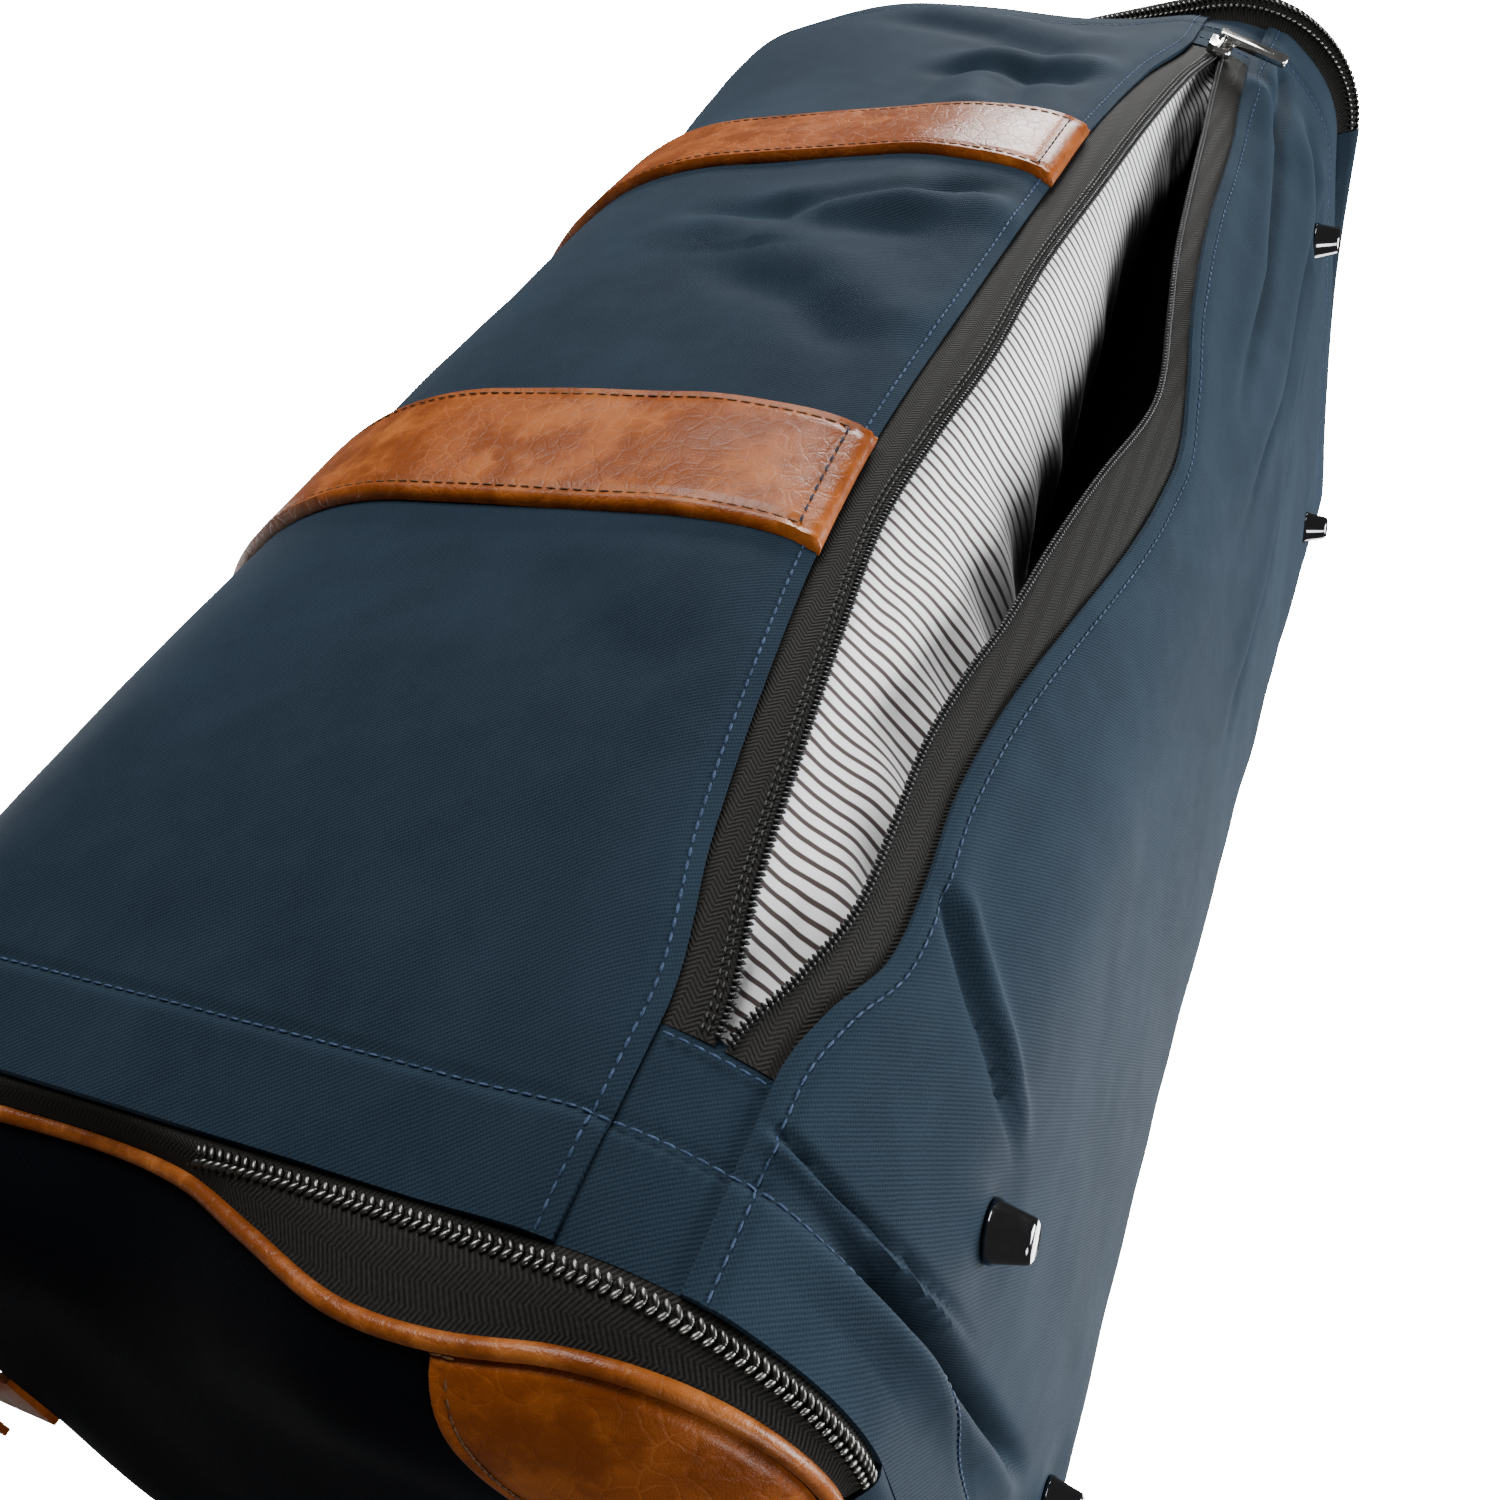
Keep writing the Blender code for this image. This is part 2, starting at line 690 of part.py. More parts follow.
def make_top_zipper():
    stations = body_stations()
    sheet_on_skin(
        "top_tape_front", "zipper_tape", stations, top_seam,
        lambda x: top_seam(x) + TOP_TAPE_WIDTH - GAP, -TAPE_DEPTH, TAPE_THICKNESS, 1,
    )
    sheet_on_skin(
        "top_tape_back", "zipper_tape", stations, lambda x: GAP - top_seam(x) - TOP_TAPE_WIDTH,
        lambda x: -top_seam(x), -TAPE_DEPTH, TAPE_THICKNESS, 1,
    )
    half = TOP_CHAIN_WIDTH / 2
    sheet_on_skin(
        "top_chain", "zipper_chain", spread(-HALF_BODY, HALF_BODY, 4),
        lambda x: half_girth(x) - half, lambda x: half_girth(x) + half, 0, END_CHAIN_THICKNESS, 2,
    )


# ---- sliders and pulls --------------------------------------------------------------------


def make_slider(node, pull_node, frame, hang):
    """A slider whose base plate lies in frame's XY plane with its travel along X, and its pull.
    hang is the direction, in frame, in which the pull lies from the bail."""
    seat = frame @ Matrix.Translation((0, 0, SLIDER_CLEARANCE))
    bm = bmesh.new()
    bmesh.ops.create_cube(bm, size=1)
    bmesh.ops.scale(bm, vec=(SLIDER_LENGTH, SLIDER_WIDTH, SLIDER_HEIGHT), verts=bm.verts)
    bmesh.ops.translate(bm, vec=(0, 0, SLIDER_HEIGHT / 2), verts=bm.verts)
    upright = [e for e in bm.edges if abs(e.verts[0].co.z - e.verts[1].co.z) > SLIDER_HEIGHT / 2]
    bmesh.ops.bevel(
        bm, geom=upright, offset=0.0022, segments=3, affect="EDGES", profile=0.5, material=-1
    )
    bmesh.ops.transform(bm, matrix=seat, verts=bm.verts)
    body = from_bmesh(node, bm, "nickel")
    add_bail(body, seat, hang)
    hinge_height = SLIDER_HEIGHT + BAIL_HEIGHT
    centre = seat @ Vector((0, 0, hinge_height))
    hinge = pivot(f"{pull_node}_pivot", centre)
    make_pull(pull_node, seat, Vector(hang), hinge_height, hinge)
    return centre


def add_bail(body, seat, hang):
    """A square wire arch over the slider, joined to it; the pull's eye hangs from its top bar."""
    across = Vector(hang).cross(Vector((0, 0, 1)))
    reach = PULL_WIDTH / 2 + 2 * BAIL_RADIUS + 2 * GAP
    root = SLIDER_HEIGHT / 2
    tall = BAIL_HEIGHT + BAIL_RADIUS + root
    bm = bmesh.new()
    for post in (across * reach, -across * reach):
        made = bmesh.ops.create_cube(bm, size=1)["verts"]
        bmesh.ops.scale(bm, vec=(2 * BAIL_RADIUS, 2 * BAIL_RADIUS, tall), verts=made)
        bmesh.ops.translate(bm, vec=post + Vector((0, 0, root + tall / 2)), verts=made)
    turn = across.to_track_quat("Z", "Y").to_matrix().to_4x4()
    bmesh.ops.create_cone(
        bm, cap_ends=True, segments=10, radius1=BAIL_RADIUS, radius2=BAIL_RADIUS,
        depth=2 * reach + BAIL_RADIUS,
        matrix=Matrix.Translation((0, 0, SLIDER_HEIGHT + BAIL_HEIGHT)) @ turn,
    )
    bmesh.ops.transform(bm, matrix=seat, verts=bm.verts)
    mesh = bpy.data.meshes.new(f"{body.name}_bail")
    bm.to_mesh(mesh)
    bm.free()
    bail = bpy.data.objects.new(f"{body.name}_bail", mesh)
    bail.hide_render = True
    bail.display_type = "WIRE"
    cutters.objects.link(bail)
    join = body.modifiers.new("Bail", "BOOLEAN")
    join.operation = "UNION"
    join.object = bail
    join.use_self = True


def make_pull(node, seat, hang, height, hinge):
    """A flat tongue with an eye round the bail's bar."""
    across = hang.cross(Vector((0, 0, 1)))
    turn = Matrix((hang, -across, Vector((0, 0, 1)))).transposed().to_4x4()
    frame = seat @ Matrix.Translation((0, 0, height)) @ turn
    bm = bmesh.new()
    bmesh.ops.create_cube(bm, size=1)
    bmesh.ops.scale(bm, vec=(PULL_LENGTH, PULL_WIDTH, PULL_THICKNESS * 2), verts=bm.verts)
    bmesh.ops.translate(bm, vec=(PULL_LENGTH / 2 - PULL_TAIL, 0, 0), verts=bm.verts)
    upright = [e for e in bm.edges if abs(e.verts[0].co.z - e.verts[1].co.z) > PULL_THICKNESS]
    bmesh.ops.bevel(
        bm, geom=upright, offset=PULL_WIDTH * 0.35, segments=3, affect="EDGES", profile=0.5,
        material=-1,
    )
    bmesh.ops.transform(bm, matrix=frame, verts=bm.verts)
    bmesh.ops.translate(bm, vec=-hinge.location, verts=bm.verts)
    made = from_bmesh(node, bm, "nickel", location=hinge.location, parent=hinge)
    middle = frame.translation
    sideways = frame.to_3x3() @ Vector((0, 1, 0))
    start, end = middle - sideways * PULL_WIDTH, middle + sideways * PULL_WIDTH
    cut(made, cutter_cylinder(f"{node}_eye", BAIL_RADIUS + GAP, start, end))


def pocket_path(x):
    """Girth of the line that the pocket's slider follows: the upper lip's edge."""
    return upper_lip(x) - TAPE_WIDTH - CHAIN_WIDTH - SHUT_MOUTH / 2


def make_sliders():
    x = POCKET_SLIDER_X
    make_slider("pocket_slider", "pocket_pull", skin_frame(x, pocket_path(x)), (0, -1, 0))
    x = HALF_BODY - TOP_ZIP_MARGIN
    make_slider("top_slider", "top_pull", skin_frame(x, half_girth(x)), (-1, 0, 0))
    for side, name in ((-1, "left"), (1, "right")):
        make_end_slider(side, name)


def make_end_slider(side, name):
    """The end zipper's slider, parked low on the back edge; it travels straight up."""
    middle = chain_start() + END_CHAIN_WIDTH / 2
    flat, quarter, _, _, _ = stretches(HALF_BODY)
    girth = flat + quarter + END_SLIDER_Z - FLOOR_TO_CLOTH - END_CORNER_RADIUS
    lean = -END_BAND_DROP * (middle - HALF_BODY) / END_BAND_LENGTH
    seat = skin(side * middle, -girth, lean)
    slope = math.atan2(END_BAND_DROP, END_BAND_LENGTH)
    out = Vector((side * math.sin(slope), math.cos(slope), 0))
    travel = Vector((0, 0, 1))
    frame = Matrix((travel, out.cross(travel), out)).transposed().to_4x4()
    frame = Matrix.Translation(seat) @ frame
    make_slider(f"end_slider_{name}", f"end_pull_{name}", frame, (-1, 0, 0))


# ---- feet, board and washers --------------------------------------------------------------


def lathe(name, finish, profile, location):
    """A turned piece from an outline of (radius, height), listed from the top down."""
    bm = bmesh.new()
    verts = [bm.verts.new((radius, 0, height)) for radius, height in profile]
    for first, second in zip(verts, verts[1:]):
        bm.edges.new((first, second))
    made = from_bmesh(name, bm, finish, location)
    screw = made.modifiers.new("Screw", "SCREW")
    screw.steps = screw.render_steps = 20
    screw.use_merge_vertices = True
    screw.merge_threshold = 0.00005
    screw.use_smooth_shade = True
    return made


def board_top():
    return FLOOR_TO_CLOTH + WALL + BOARD_PADDING + BOARD_THICKNESS


def make_feet(bottom):
    half_x, half_y = FOOT_X + BOARD_MARGIN, FOOT_Y + BOARD_MARGIN
    bm = bmesh.new()
    bmesh.ops.create_cube(bm, size=1)
    bmesh.ops.scale(bm, vec=(2 * half_x, 2 * half_y, BOARD_THICKNESS), verts=bm.verts)
    upright = [e for e in bm.edges if abs(e.verts[0].co.z - e.verts[1].co.z) > BOARD_THICKNESS / 2]
    bmesh.ops.bevel(
        bm, geom=upright, offset=BOARD_MARGIN, segments=4, affect="EDGES", profile=0.5, material=-1
    )
    board = from_bmesh("base_board", bm, "board", (0, 0, board_top() - BOARD_THICKNESS / 2))
    stud_top = board_top() + WASHER_THICKNESS + 3 * GAP
    profile = [
        (0, stud_top), (STUD_RADIUS, stud_top), (STUD_RADIUS, FOOT_HEIGHT - GAP),
        (FOOT_BASE_RADIUS - 0.0003, FOOT_HEIGHT - GAP), (FOOT_BASE_RADIUS, FOOT_HEIGHT - 0.0006),
        (FOOT_BASE_RADIUS, FOOT_HEIGHT - 0.0016), (FOOT_TIP_RADIUS, 0.0008),
        (FOOT_TIP_RADIUS - 0.0003, 0.0002), (FOOT_TIP_RADIUS - 0.0008, 0), (0, 0),
    ]
    washer = [
        (STUD_RADIUS + GAP, board_top() + GAP + WASHER_THICKNESS),
        (WASHER_RADIUS, board_top() + GAP + WASHER_THICKNESS),
        (WASHER_RADIUS, board_top() + GAP), (STUD_RADIUS + GAP, board_top() + GAP),
        (STUD_RADIUS + GAP, board_top() + GAP + WASHER_THICKNESS),
    ]
    for face, y in (("front", -FOOT_Y), ("back", FOOT_Y)):
        for name, x in (("left", -FOOT_X), ("right", FOOT_X)):
            lathe(f"foot_{face}_{name}", "dark_chrome", profile, (x, y, 0))
            lathe(f"foot_washer_{face}_{name}", "nickel", washer, (x, y, 0))
            hole = cutter_cylinder(
                f"foot_hole_{face}_{name}", STUD_RADIUS + STUD_CLEARANCE,
                (x, y, 0), (x, y, 2 * stud_top),
            )
            cut(bottom, hole)
            cut(board, hole)


# ---- handles ------------------------------------------------------------------------------


def strap_top():
    return half_girth(STRAP_X) - STRAP_END


def handle_points(route):
    """A half loop between the two straps: route gives (y, z) for shares 0 to 1 of its reach."""
    straight = 0.7  # share of the reach before the legs turn in
    turns = 6
    legs = [(-STRAP_X, straight * i / 3) for i in range(4)]
    arc = [
        (
            -STRAP_X + HANDLE_CORNER * (1 - math.cos(math.pi / 2 * i / turns)),
            straight + (1 - straight) * math.sin(math.pi / 2 * i / turns),
        )
        for i in range(1, turns + 1)
    ]
    half = legs + arc
    full = half + [(-x, share) for x, share in reversed(half)]
    return [(x, *route(share)) for x, share in full]


def make_handles():
    """Both handles stand over the top and lean on each other, one on each side of the opening."""
    start = skin(STRAP_X, strap_top(), HANDLE_LIFT)
    reach = -start.y - HANDLE_RADIUS - CROWN_GAP / 2
    for name, side in (("front_handle", 1), ("back_handle", -1)):

        def lean_in(share, side=side):
            bow = 0.5 * (share + math.sin(math.pi / 2 * share))
            return side * (start.y + reach * share), start.z + HANDLE_RISE * bow

        hinge = pivot(f"{name}_pivot", (0, side * start.y, start.z))
        points = handle_points(lean_in)
        tube(name, "tan_leather", points, HANDLE_RADIUS, parent=hinge, resolution=2)


# ---- inside -------------------------------------------------------------------------------


def make_inside():
    """The sleeve that holds the suits against the back, and the hanger hook above it."""
    sheet_on_skin(
        "garment_sleeve", "grey_lining", spread(-SLEEVE_HALF_LENGTH, SLEEVE_HALF_LENGTH, 6),
        level(-SLEEVE_HIGH), level(-SLEEVE_LOW), -WALL - SLEEVE_DEPTH, SLEEVE_THICKNESS, 8,
    )
    depth = -WALL - SLEEVE_DEPTH - SLEEVE_THICKNESS - HOOK_WIRE - 3 * LAYER_GAP
    steps = 12
    turns = [math.pi * 1.5 * i / steps for i in range(steps + 1)]
    middle = SLEEVE_HIGH - HOOK_NECK - HOOK_RADIUS
    points = [skin(0, -SLEEVE_HIGH, depth)]
    points += [
        skin(HOOK_RADIUS * math.sin(a), -middle - HOOK_RADIUS * math.cos(a), depth) for a in turns
    ]
    tube("hanger_hook", "nickel", points, HOOK_WIRE)


clear_scene()
bag = new_collection("garment_bag")
cutters = new_collection("cutters")
cutters.hide_render = True
_, _, bottom_panel = make_panels()
make_feet(bottom_panel)
make_pocket()
make_straps()
for end_side, end_name in ((-1, "left"), (1, "right")):
    make_end(end_side, end_name)
make_top_zipper()
make_sliders()
make_handles()
make_inside()
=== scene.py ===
import json
import math
import bmesh
import bpy
from mathutils import Matrix, Vector, noise

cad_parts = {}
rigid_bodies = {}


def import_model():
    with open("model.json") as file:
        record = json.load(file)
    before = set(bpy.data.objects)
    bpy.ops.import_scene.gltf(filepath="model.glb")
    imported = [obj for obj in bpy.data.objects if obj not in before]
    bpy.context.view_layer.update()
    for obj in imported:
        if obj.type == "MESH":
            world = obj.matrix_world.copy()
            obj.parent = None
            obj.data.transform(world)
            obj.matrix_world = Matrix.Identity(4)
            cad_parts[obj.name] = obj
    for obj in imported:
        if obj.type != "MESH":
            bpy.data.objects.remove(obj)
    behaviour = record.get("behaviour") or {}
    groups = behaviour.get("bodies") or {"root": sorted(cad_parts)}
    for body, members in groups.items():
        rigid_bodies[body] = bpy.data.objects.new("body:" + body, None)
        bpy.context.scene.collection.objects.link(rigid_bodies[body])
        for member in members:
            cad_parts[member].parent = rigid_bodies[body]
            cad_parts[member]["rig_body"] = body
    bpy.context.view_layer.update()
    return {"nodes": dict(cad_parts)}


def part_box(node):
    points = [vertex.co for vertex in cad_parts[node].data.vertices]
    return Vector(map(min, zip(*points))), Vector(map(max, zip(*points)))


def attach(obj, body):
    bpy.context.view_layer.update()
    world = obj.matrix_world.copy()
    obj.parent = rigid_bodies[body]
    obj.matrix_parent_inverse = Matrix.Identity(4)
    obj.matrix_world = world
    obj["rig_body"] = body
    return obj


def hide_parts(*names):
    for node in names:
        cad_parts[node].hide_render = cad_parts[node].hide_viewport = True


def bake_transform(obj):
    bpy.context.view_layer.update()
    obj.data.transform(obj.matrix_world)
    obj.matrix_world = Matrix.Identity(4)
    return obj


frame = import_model()

# Shader helpers


def plug(tree, socket, value):
    if isinstance(value, Wire):
        tree.links.new(value.socket, socket)
    else:
        socket.default_value = value


class Wire:
    def __init__(self, tree, socket):
        self.tree = tree
        self.socket = socket

    def math(self, operation, first, *others):
        made = self.tree.nodes.new("ShaderNodeMath")
        made.operation = operation
        for socket, value in zip(made.inputs, (first, *others)):
            plug(self.tree, socket, value)
        return Wire(self.tree, made.outputs[0])

    def __add__(self, other):
        return self.math("ADD", self, other)

    def __sub__(self, other):
        return self.math("SUBTRACT", self, other)

    def __rsub__(self, other):
        return self.math("SUBTRACT", other, self)

    def __mul__(self, other):
        return self.math("MULTIPLY", self, other)

    def __truediv__(self, other):
        return self.math("DIVIDE", self, other)

    def __mod__(self, other):
        return self.math("FLOORED_MODULO", self, other)

    def __lt__(self, other):
        return self.math("LESS_THAN", self, other)

    __radd__ = __add__
    __rmul__ = __mul__

    def wave(self):
        return self.math("SINE", self, 0.0)

    def size(self):
        return self.math("ABSOLUTE", self, 0.0)

    def soft(self, low, high):
        made = self.tree.nodes.new("ShaderNodeMapRange")
        made.interpolation_type = "SMOOTHSTEP"
        for socket, value in zip(made.inputs, (self, low, high)):
            plug(self.tree, socket, value)
        return Wire(self.tree, made.outputs[0])


class Finish:
    def __init__(self, name, roughness=0.5, metallic=0.0, **constants):
        self.material = bpy.data.materials.new(name)
        self.material.use_nodes = True
        self.tree = self.material.node_tree
        self.shader = self.tree.nodes["Principled BSDF"]
        self.shader.inputs["Roughness"].default_value = roughness
        self.shader.inputs["Metallic"].default_value = metallic
        for key, value in constants.items():
            self.shader.inputs[key.replace("_", " ")].default_value = value

    def node(self, kind, settings=None, output=0, **inputs):
        made = self.tree.nodes.new("ShaderNode" + kind)
        for key, value in (settings or {}).items():
            if key == "stops":
                while len(made.color_ramp.elements) < len(value):
                    made.color_ramp.elements.new(0.5)
                for element, (place, colour) in zip(made.color_ramp.elements, value):
                    element.position = place
                    element.color = (*colour, 1)
            else:
                setattr(made, key, value)
        for key, value in inputs.items():
            plain = key.replace("_", " ")
            found = [s for s in made.inputs if s.identifier == key or s.name == plain]
            plug(self.tree, found[0], value)
        return Wire(self.tree, made.outputs[output])

    def mix(self, share, first, second):
        return self.node("Mix", {"data_type": "RGBA"}, 2, Factor_Float=share, A_Color=first, B_Color=second)

    def noise(self, place, scale, detail=2.0, rough=0.5):
        return self.node("TexNoise", None, 0, Vector=place, Scale=scale, Detail=detail, Roughness=rough)

    def place(self):
        return self.node("TexCoord", None, 3)

    def cloth(self):
        return self.node("UVMap", {"uv_map": "cloth"}, 0)

    def parts(self, vector):
        split = self.tree.nodes.new("ShaderNodeSeparateXYZ")
        plug(self.tree, split.inputs[0], vector)
        return [Wire(self.tree, socket) for socket in split.outputs]

    def bump(self, height, strength, distance):
        return self.node("Bump", None, 0, Height=height, Strength=strength, Distance=distance)

    def wear(self, **surface):
        for key, value in surface.items():
            plug(self.tree, self.shader.inputs[key.replace("_", " ")], value)
        return self.material


def colour(red, green, blue):
    return (red, green, blue, 1.0)


def makeTwill(name, dark, light, sheen, haze):
    twill = {"pitch": 0.00082, "yarn": 0.00060, "lean": 0.62, "relief": 0.00012}
    f = Finish(name, 0.82, Sheen_Weight=sheen, Sheen_Roughness=0.45, Specular_IOR_Level=0.06)
    f.shader.inputs["Sheen Tint"].default_value = haze
    uv = f.cloth()
    u, v, _ = f.parts(uv)
    wobble = f.noise(uv, 240.0, 2.0)
    rib = ((u * math.cos(twill["lean"]) + v * math.sin(twill["lean"])) * (2 * math.pi / twill["pitch"])
           + wobble * 2.2).wave() * 0.5 + 0.5
    yarn = ((v * math.cos(twill["lean"]) - u * math.sin(twill["lean"])) * (2 * math.pi / twill["yarn"])
            + wobble * 5.0).wave() * 0.5 + 0.5
    speck = f.noise(uv, 2600.0, 1.0)
    slub = f.noise(uv, 90.0, 3.0, 0.6)
    fade = f.noise(uv, 11.0, 5.0, 0.6)
    share = rib * 0.42 + yarn * 0.16 + speck.soft(0.35, 0.7) * 0.30 + slub.soft(0.35, 0.75) * 0.12
    shade = f.mix(share, dark, light)
    faded = f.mix(fade.soft(0.42, 0.66) * 0.42, shade, light)
    relief = rib * 0.7 + yarn * 0.3 + speck * 0.25
    return f.wear(Base_Color=faded, Roughness=0.9 - share * 0.16,
                  Normal=f.bump(relief, 0.55, twill["relief"]))


def makeLeather(name, deep, warm, pale, gloss):
    hide = {"crackle": 210.0, "blotch": 75.0, "grain": 1500.0}
    f = Finish(name, gloss, Specular_IOR_Level=0.22, Coat_Roughness=0.22)
    place = f.place()
    bent = f.node("VectorMath", {"operation": "MULTIPLY_ADD"}, 0)
    warp = f.tree.nodes.new("ShaderNodeTexNoise")
    plug(f.tree, warp.inputs["Vector"], place)
    warp.inputs["Scale"].default_value = 120.0
    plug(f.tree, bent.socket.node.inputs[0], Wire(f.tree, warp.outputs["Color"]))
    bent.socket.node.inputs[1].default_value = (0.006, 0.006, 0.006)
    plug(f.tree, bent.socket.node.inputs[2], place)
    cell = f.node("TexVoronoi", {"feature": "DISTANCE_TO_EDGE"}, 0, Vector=bent, Scale=hide["crackle"])
    fine = f.node("TexVoronoi", {"feature": "DISTANCE_TO_EDGE"}, 0, Vector=bent, Scale=hide["grain"])
    blotch = f.noise(place, hide["blotch"], 5.0, 0.62)
    broad = f.noise(place, 22.0, 4.0, 0.6)
    crack = 1 - cell.soft(0.0, 0.055)
    share = blotch.soft(0.40, 0.62)
    base = f.mix(share, deep, warm)
    lit = f.mix(broad.soft(0.45, 0.62) * blotch.soft(0.35, 0.7) * 0.75, base, pale)
    shown = f.mix(crack * blotch.soft(0.45, 0.6) * 0.55, lit, pale)
    height = cell.soft(0.0, 0.12) * 0.5 + fine.soft(0.0, 0.3) * 0.25 + blotch * 0.4
    return f.wear(Base_Color=shown, Roughness=gloss + share * 0.10 + crack * 0.12 - 0.05,
                  Coat_Weight=0.02 + share * 0.06, Normal=f.bump(height, 0.30, 0.00035))


def makeTape(name, dark, light):
    weave = {"pitch": 0.0011, "chevron": 0.0024}
    f = Finish(name, 0.75, Specular_IOR_Level=0.10)
    uv = f.cloth()
    u, v, _ = f.parts(uv)
    fold = ((v / weave["chevron"]) % 2.0 - 1.0).size() * weave["chevron"]
    rib = ((u + fold * 0.9) * (2 * math.pi / weave["pitch"])).wave() * 0.5 + 0.5
    speck = f.noise(uv, 1800.0, 1.0)
    share = rib * 0.65 + speck.soft(0.4, 0.7) * 0.35
    return f.wear(Base_Color=f.mix(share, dark, light), Roughness=0.8 - rib * 0.12,
                  Normal=f.bump(rib, 0.7, 0.00016))


def makeLining(name):
    stripe = {"pitch": 0.0036, "line": 0.34}
    f = Finish(name, 0.8, Sheen_Weight=0.15, Specular_IOR_Level=0.25)
    uv = f.cloth()
    u, v, _ = f.parts(uv)
    wobble = f.noise(uv, 60.0, 2.0)
    place = (u + wobble * 0.0014) / stripe["pitch"] % 1.0
    line = 1 - ((place - 0.5).size() * 2).soft(stripe["line"] - 0.1, stripe["line"] + 0.1)
    thread = ((u * (2 * math.pi / 0.00035)).wave() + (v * (2 * math.pi / 0.00035)).wave()) * 0.25 + 0.5
    ink = f.mix(thread, colour(0.030, 0.019, 0.017), colour(0.075, 0.052, 0.047))
    white = f.mix(thread, colour(0.82, 0.81, 0.82), colour(0.95, 0.94, 0.95))
    # Painted shade: the amount attribute mixes the lining towards near black where it sinks deep into the pocket.
    deep = f.node("Attribute", {"attribute_name": "amount"}, 2)
    shown = f.mix(deep, f.mix(line, white, ink), colour(0.004, 0.004, 0.004))
    return f.wear(Base_Color=shown, Normal=f.bump(thread, 0.3, 0.0001))


def makeMetal(name, tone, rough, worn):
    f = Finish(name, rough, 1.0, Specular_IOR_Level=0.5)
    place = f.place()
    scuff = f.noise(place, 900.0, 3.0, 0.65)
    smear = f.noise(place, 160.0, 2.0)
    shown = f.mix(scuff.soft(0.45, 0.8) * 0.4, tone, worn)
    return f.wear(Base_Color=shown, Roughness=rough + smear.soft(0.4, 0.8) * 0.10,
                  Normal=f.bump(scuff, 0.05, 0.00003))


def makePlain(name, dark, light, rough, scale=700.0, shine=0.3):
    f = Finish(name, rough, Specular_IOR_Level=shine)
    place = f.place()
    grain = f.noise(place, scale, 2.0)
    tone = f.noise(place, scale / 12, 3.0)
    shown = f.mix(grain.soft(0.3, 0.7) * 0.7 + tone.soft(0.35, 0.7) * 0.3, dark, light)
    return f.wear(Base_Color=shown, Roughness=rough + grain * 0.1, Normal=f.bump(grain, 0.35, 0.00008))


finishes = {
    "navyTwill": makeTwill("navy twill", colour(0.0035, 0.0075, 0.0135), colour(0.0150, 0.0270, 0.0410), 0.03,
                           colour(0.50, 0.66, 0.85)),
    # The end-panel twill is near black, far darker than the black zip tape: painted shade for the ends, which face away
    # from the lamps.
    "endShadeTwill": makeTwill("end twill painted shade", colour(0.0004, 0.0006, 0.0014), colour(0.0013, 0.0018, 0.0036), 0.0,
                            colour(0.3, 0.35, 0.5)),
    "tanLeather": makeLeather("tan leather", colour(0.150, 0.033, 0.0025), colour(0.215, 0.049, 0.0036),
                              colour(0.310, 0.088, 0.011), 0.38),
    "rolledLeather": makeLeather("rolled leather", colour(0.125, 0.030, 0.004), colour(0.205, 0.055, 0.008),
                                 colour(0.290, 0.095, 0.020), 0.34),
    "zipTape": makeTape("zipper tape", colour(0.0040, 0.0037, 0.0034), colour(0.0190, 0.0180, 0.0160)),
    "stripedLining": makeLining("striped lining"),
    # Near-black cloth without shine for the pocket's lower wall: its colour is painted shade for the dark depths of the
    # pocket.
    "pocketDark": makePlain("pocket shadow cloth", colour(0.0004, 0.0004, 0.0004), colour(0.0010, 0.0010, 0.0010), 0.95, 700.0, 0.0),
    "coilBlack": makePlain("black coil", colour(0.006, 0.006, 0.006), colour(0.018, 0.018, 0.018), 0.30),
    "coilMetal": makeMetal("gunmetal teeth", colour(0.10, 0.098, 0.092), 0.34, colour(0.40, 0.39, 0.36)),
    "nickel": makeMetal("nickel", colour(0.60, 0.59, 0.57), 0.16, colour(0.75, 0.74, 0.72)),
    "darkChrome": makeMetal("dark chrome", colour(0.16, 0.16, 0.17), 0.07, colour(0.24, 0.24, 0.25)),
    "blueThread": makePlain("blue thread", colour(0.008, 0.018, 0.042), colour(0.042, 0.070, 0.130), 0.6, 1600.0, 0.15),
    "tanThread": makePlain("tan thread", colour(0.045, 0.019, 0.008), colour(0.17, 0.085, 0.040), 0.6, 1600.0, 0.15),
    "darkThread": makePlain("dark thread", colour(0.006, 0.008, 0.014), colour(0.022, 0.027, 0.040), 0.6, 1600.0, 0.15),
    "greyLining": makePlain("grey lining", colour(0.10, 0.10, 0.11), colour(0.20, 0.20, 0.21), 0.85, 1500.0),
    "board": makePlain("black board", colour(0.008, 0.008, 0.008), colour(0.02, 0.02, 0.02), 0.6),
}
print("finishes made")

# The bag's surface

bag = {
    "halfLength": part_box("front_panel")[1].x,
    "floor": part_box("base_board")[0].z - 0.007,
    "endHalf": 0.130,
    "bulge": -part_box("front_panel")[0].y - 0.130,
    "height": 0.267,
    "endCorner": 0.0475,
    "midCorner": 0.111,
    "lowerSeam": 0.135,
    "upperSeam": 0.1575,
    "mouthHalf": 0.229,
    "sill": 0.083,
}
halfLength = bag["halfLength"]


def clamp(value, low=0.0, high=1.0):
    return max(low, min(high, value))


def smooth(low, high, value):
    share = clamp((value - low) / (high - low))
    return share * share * (3 - 2 * share)


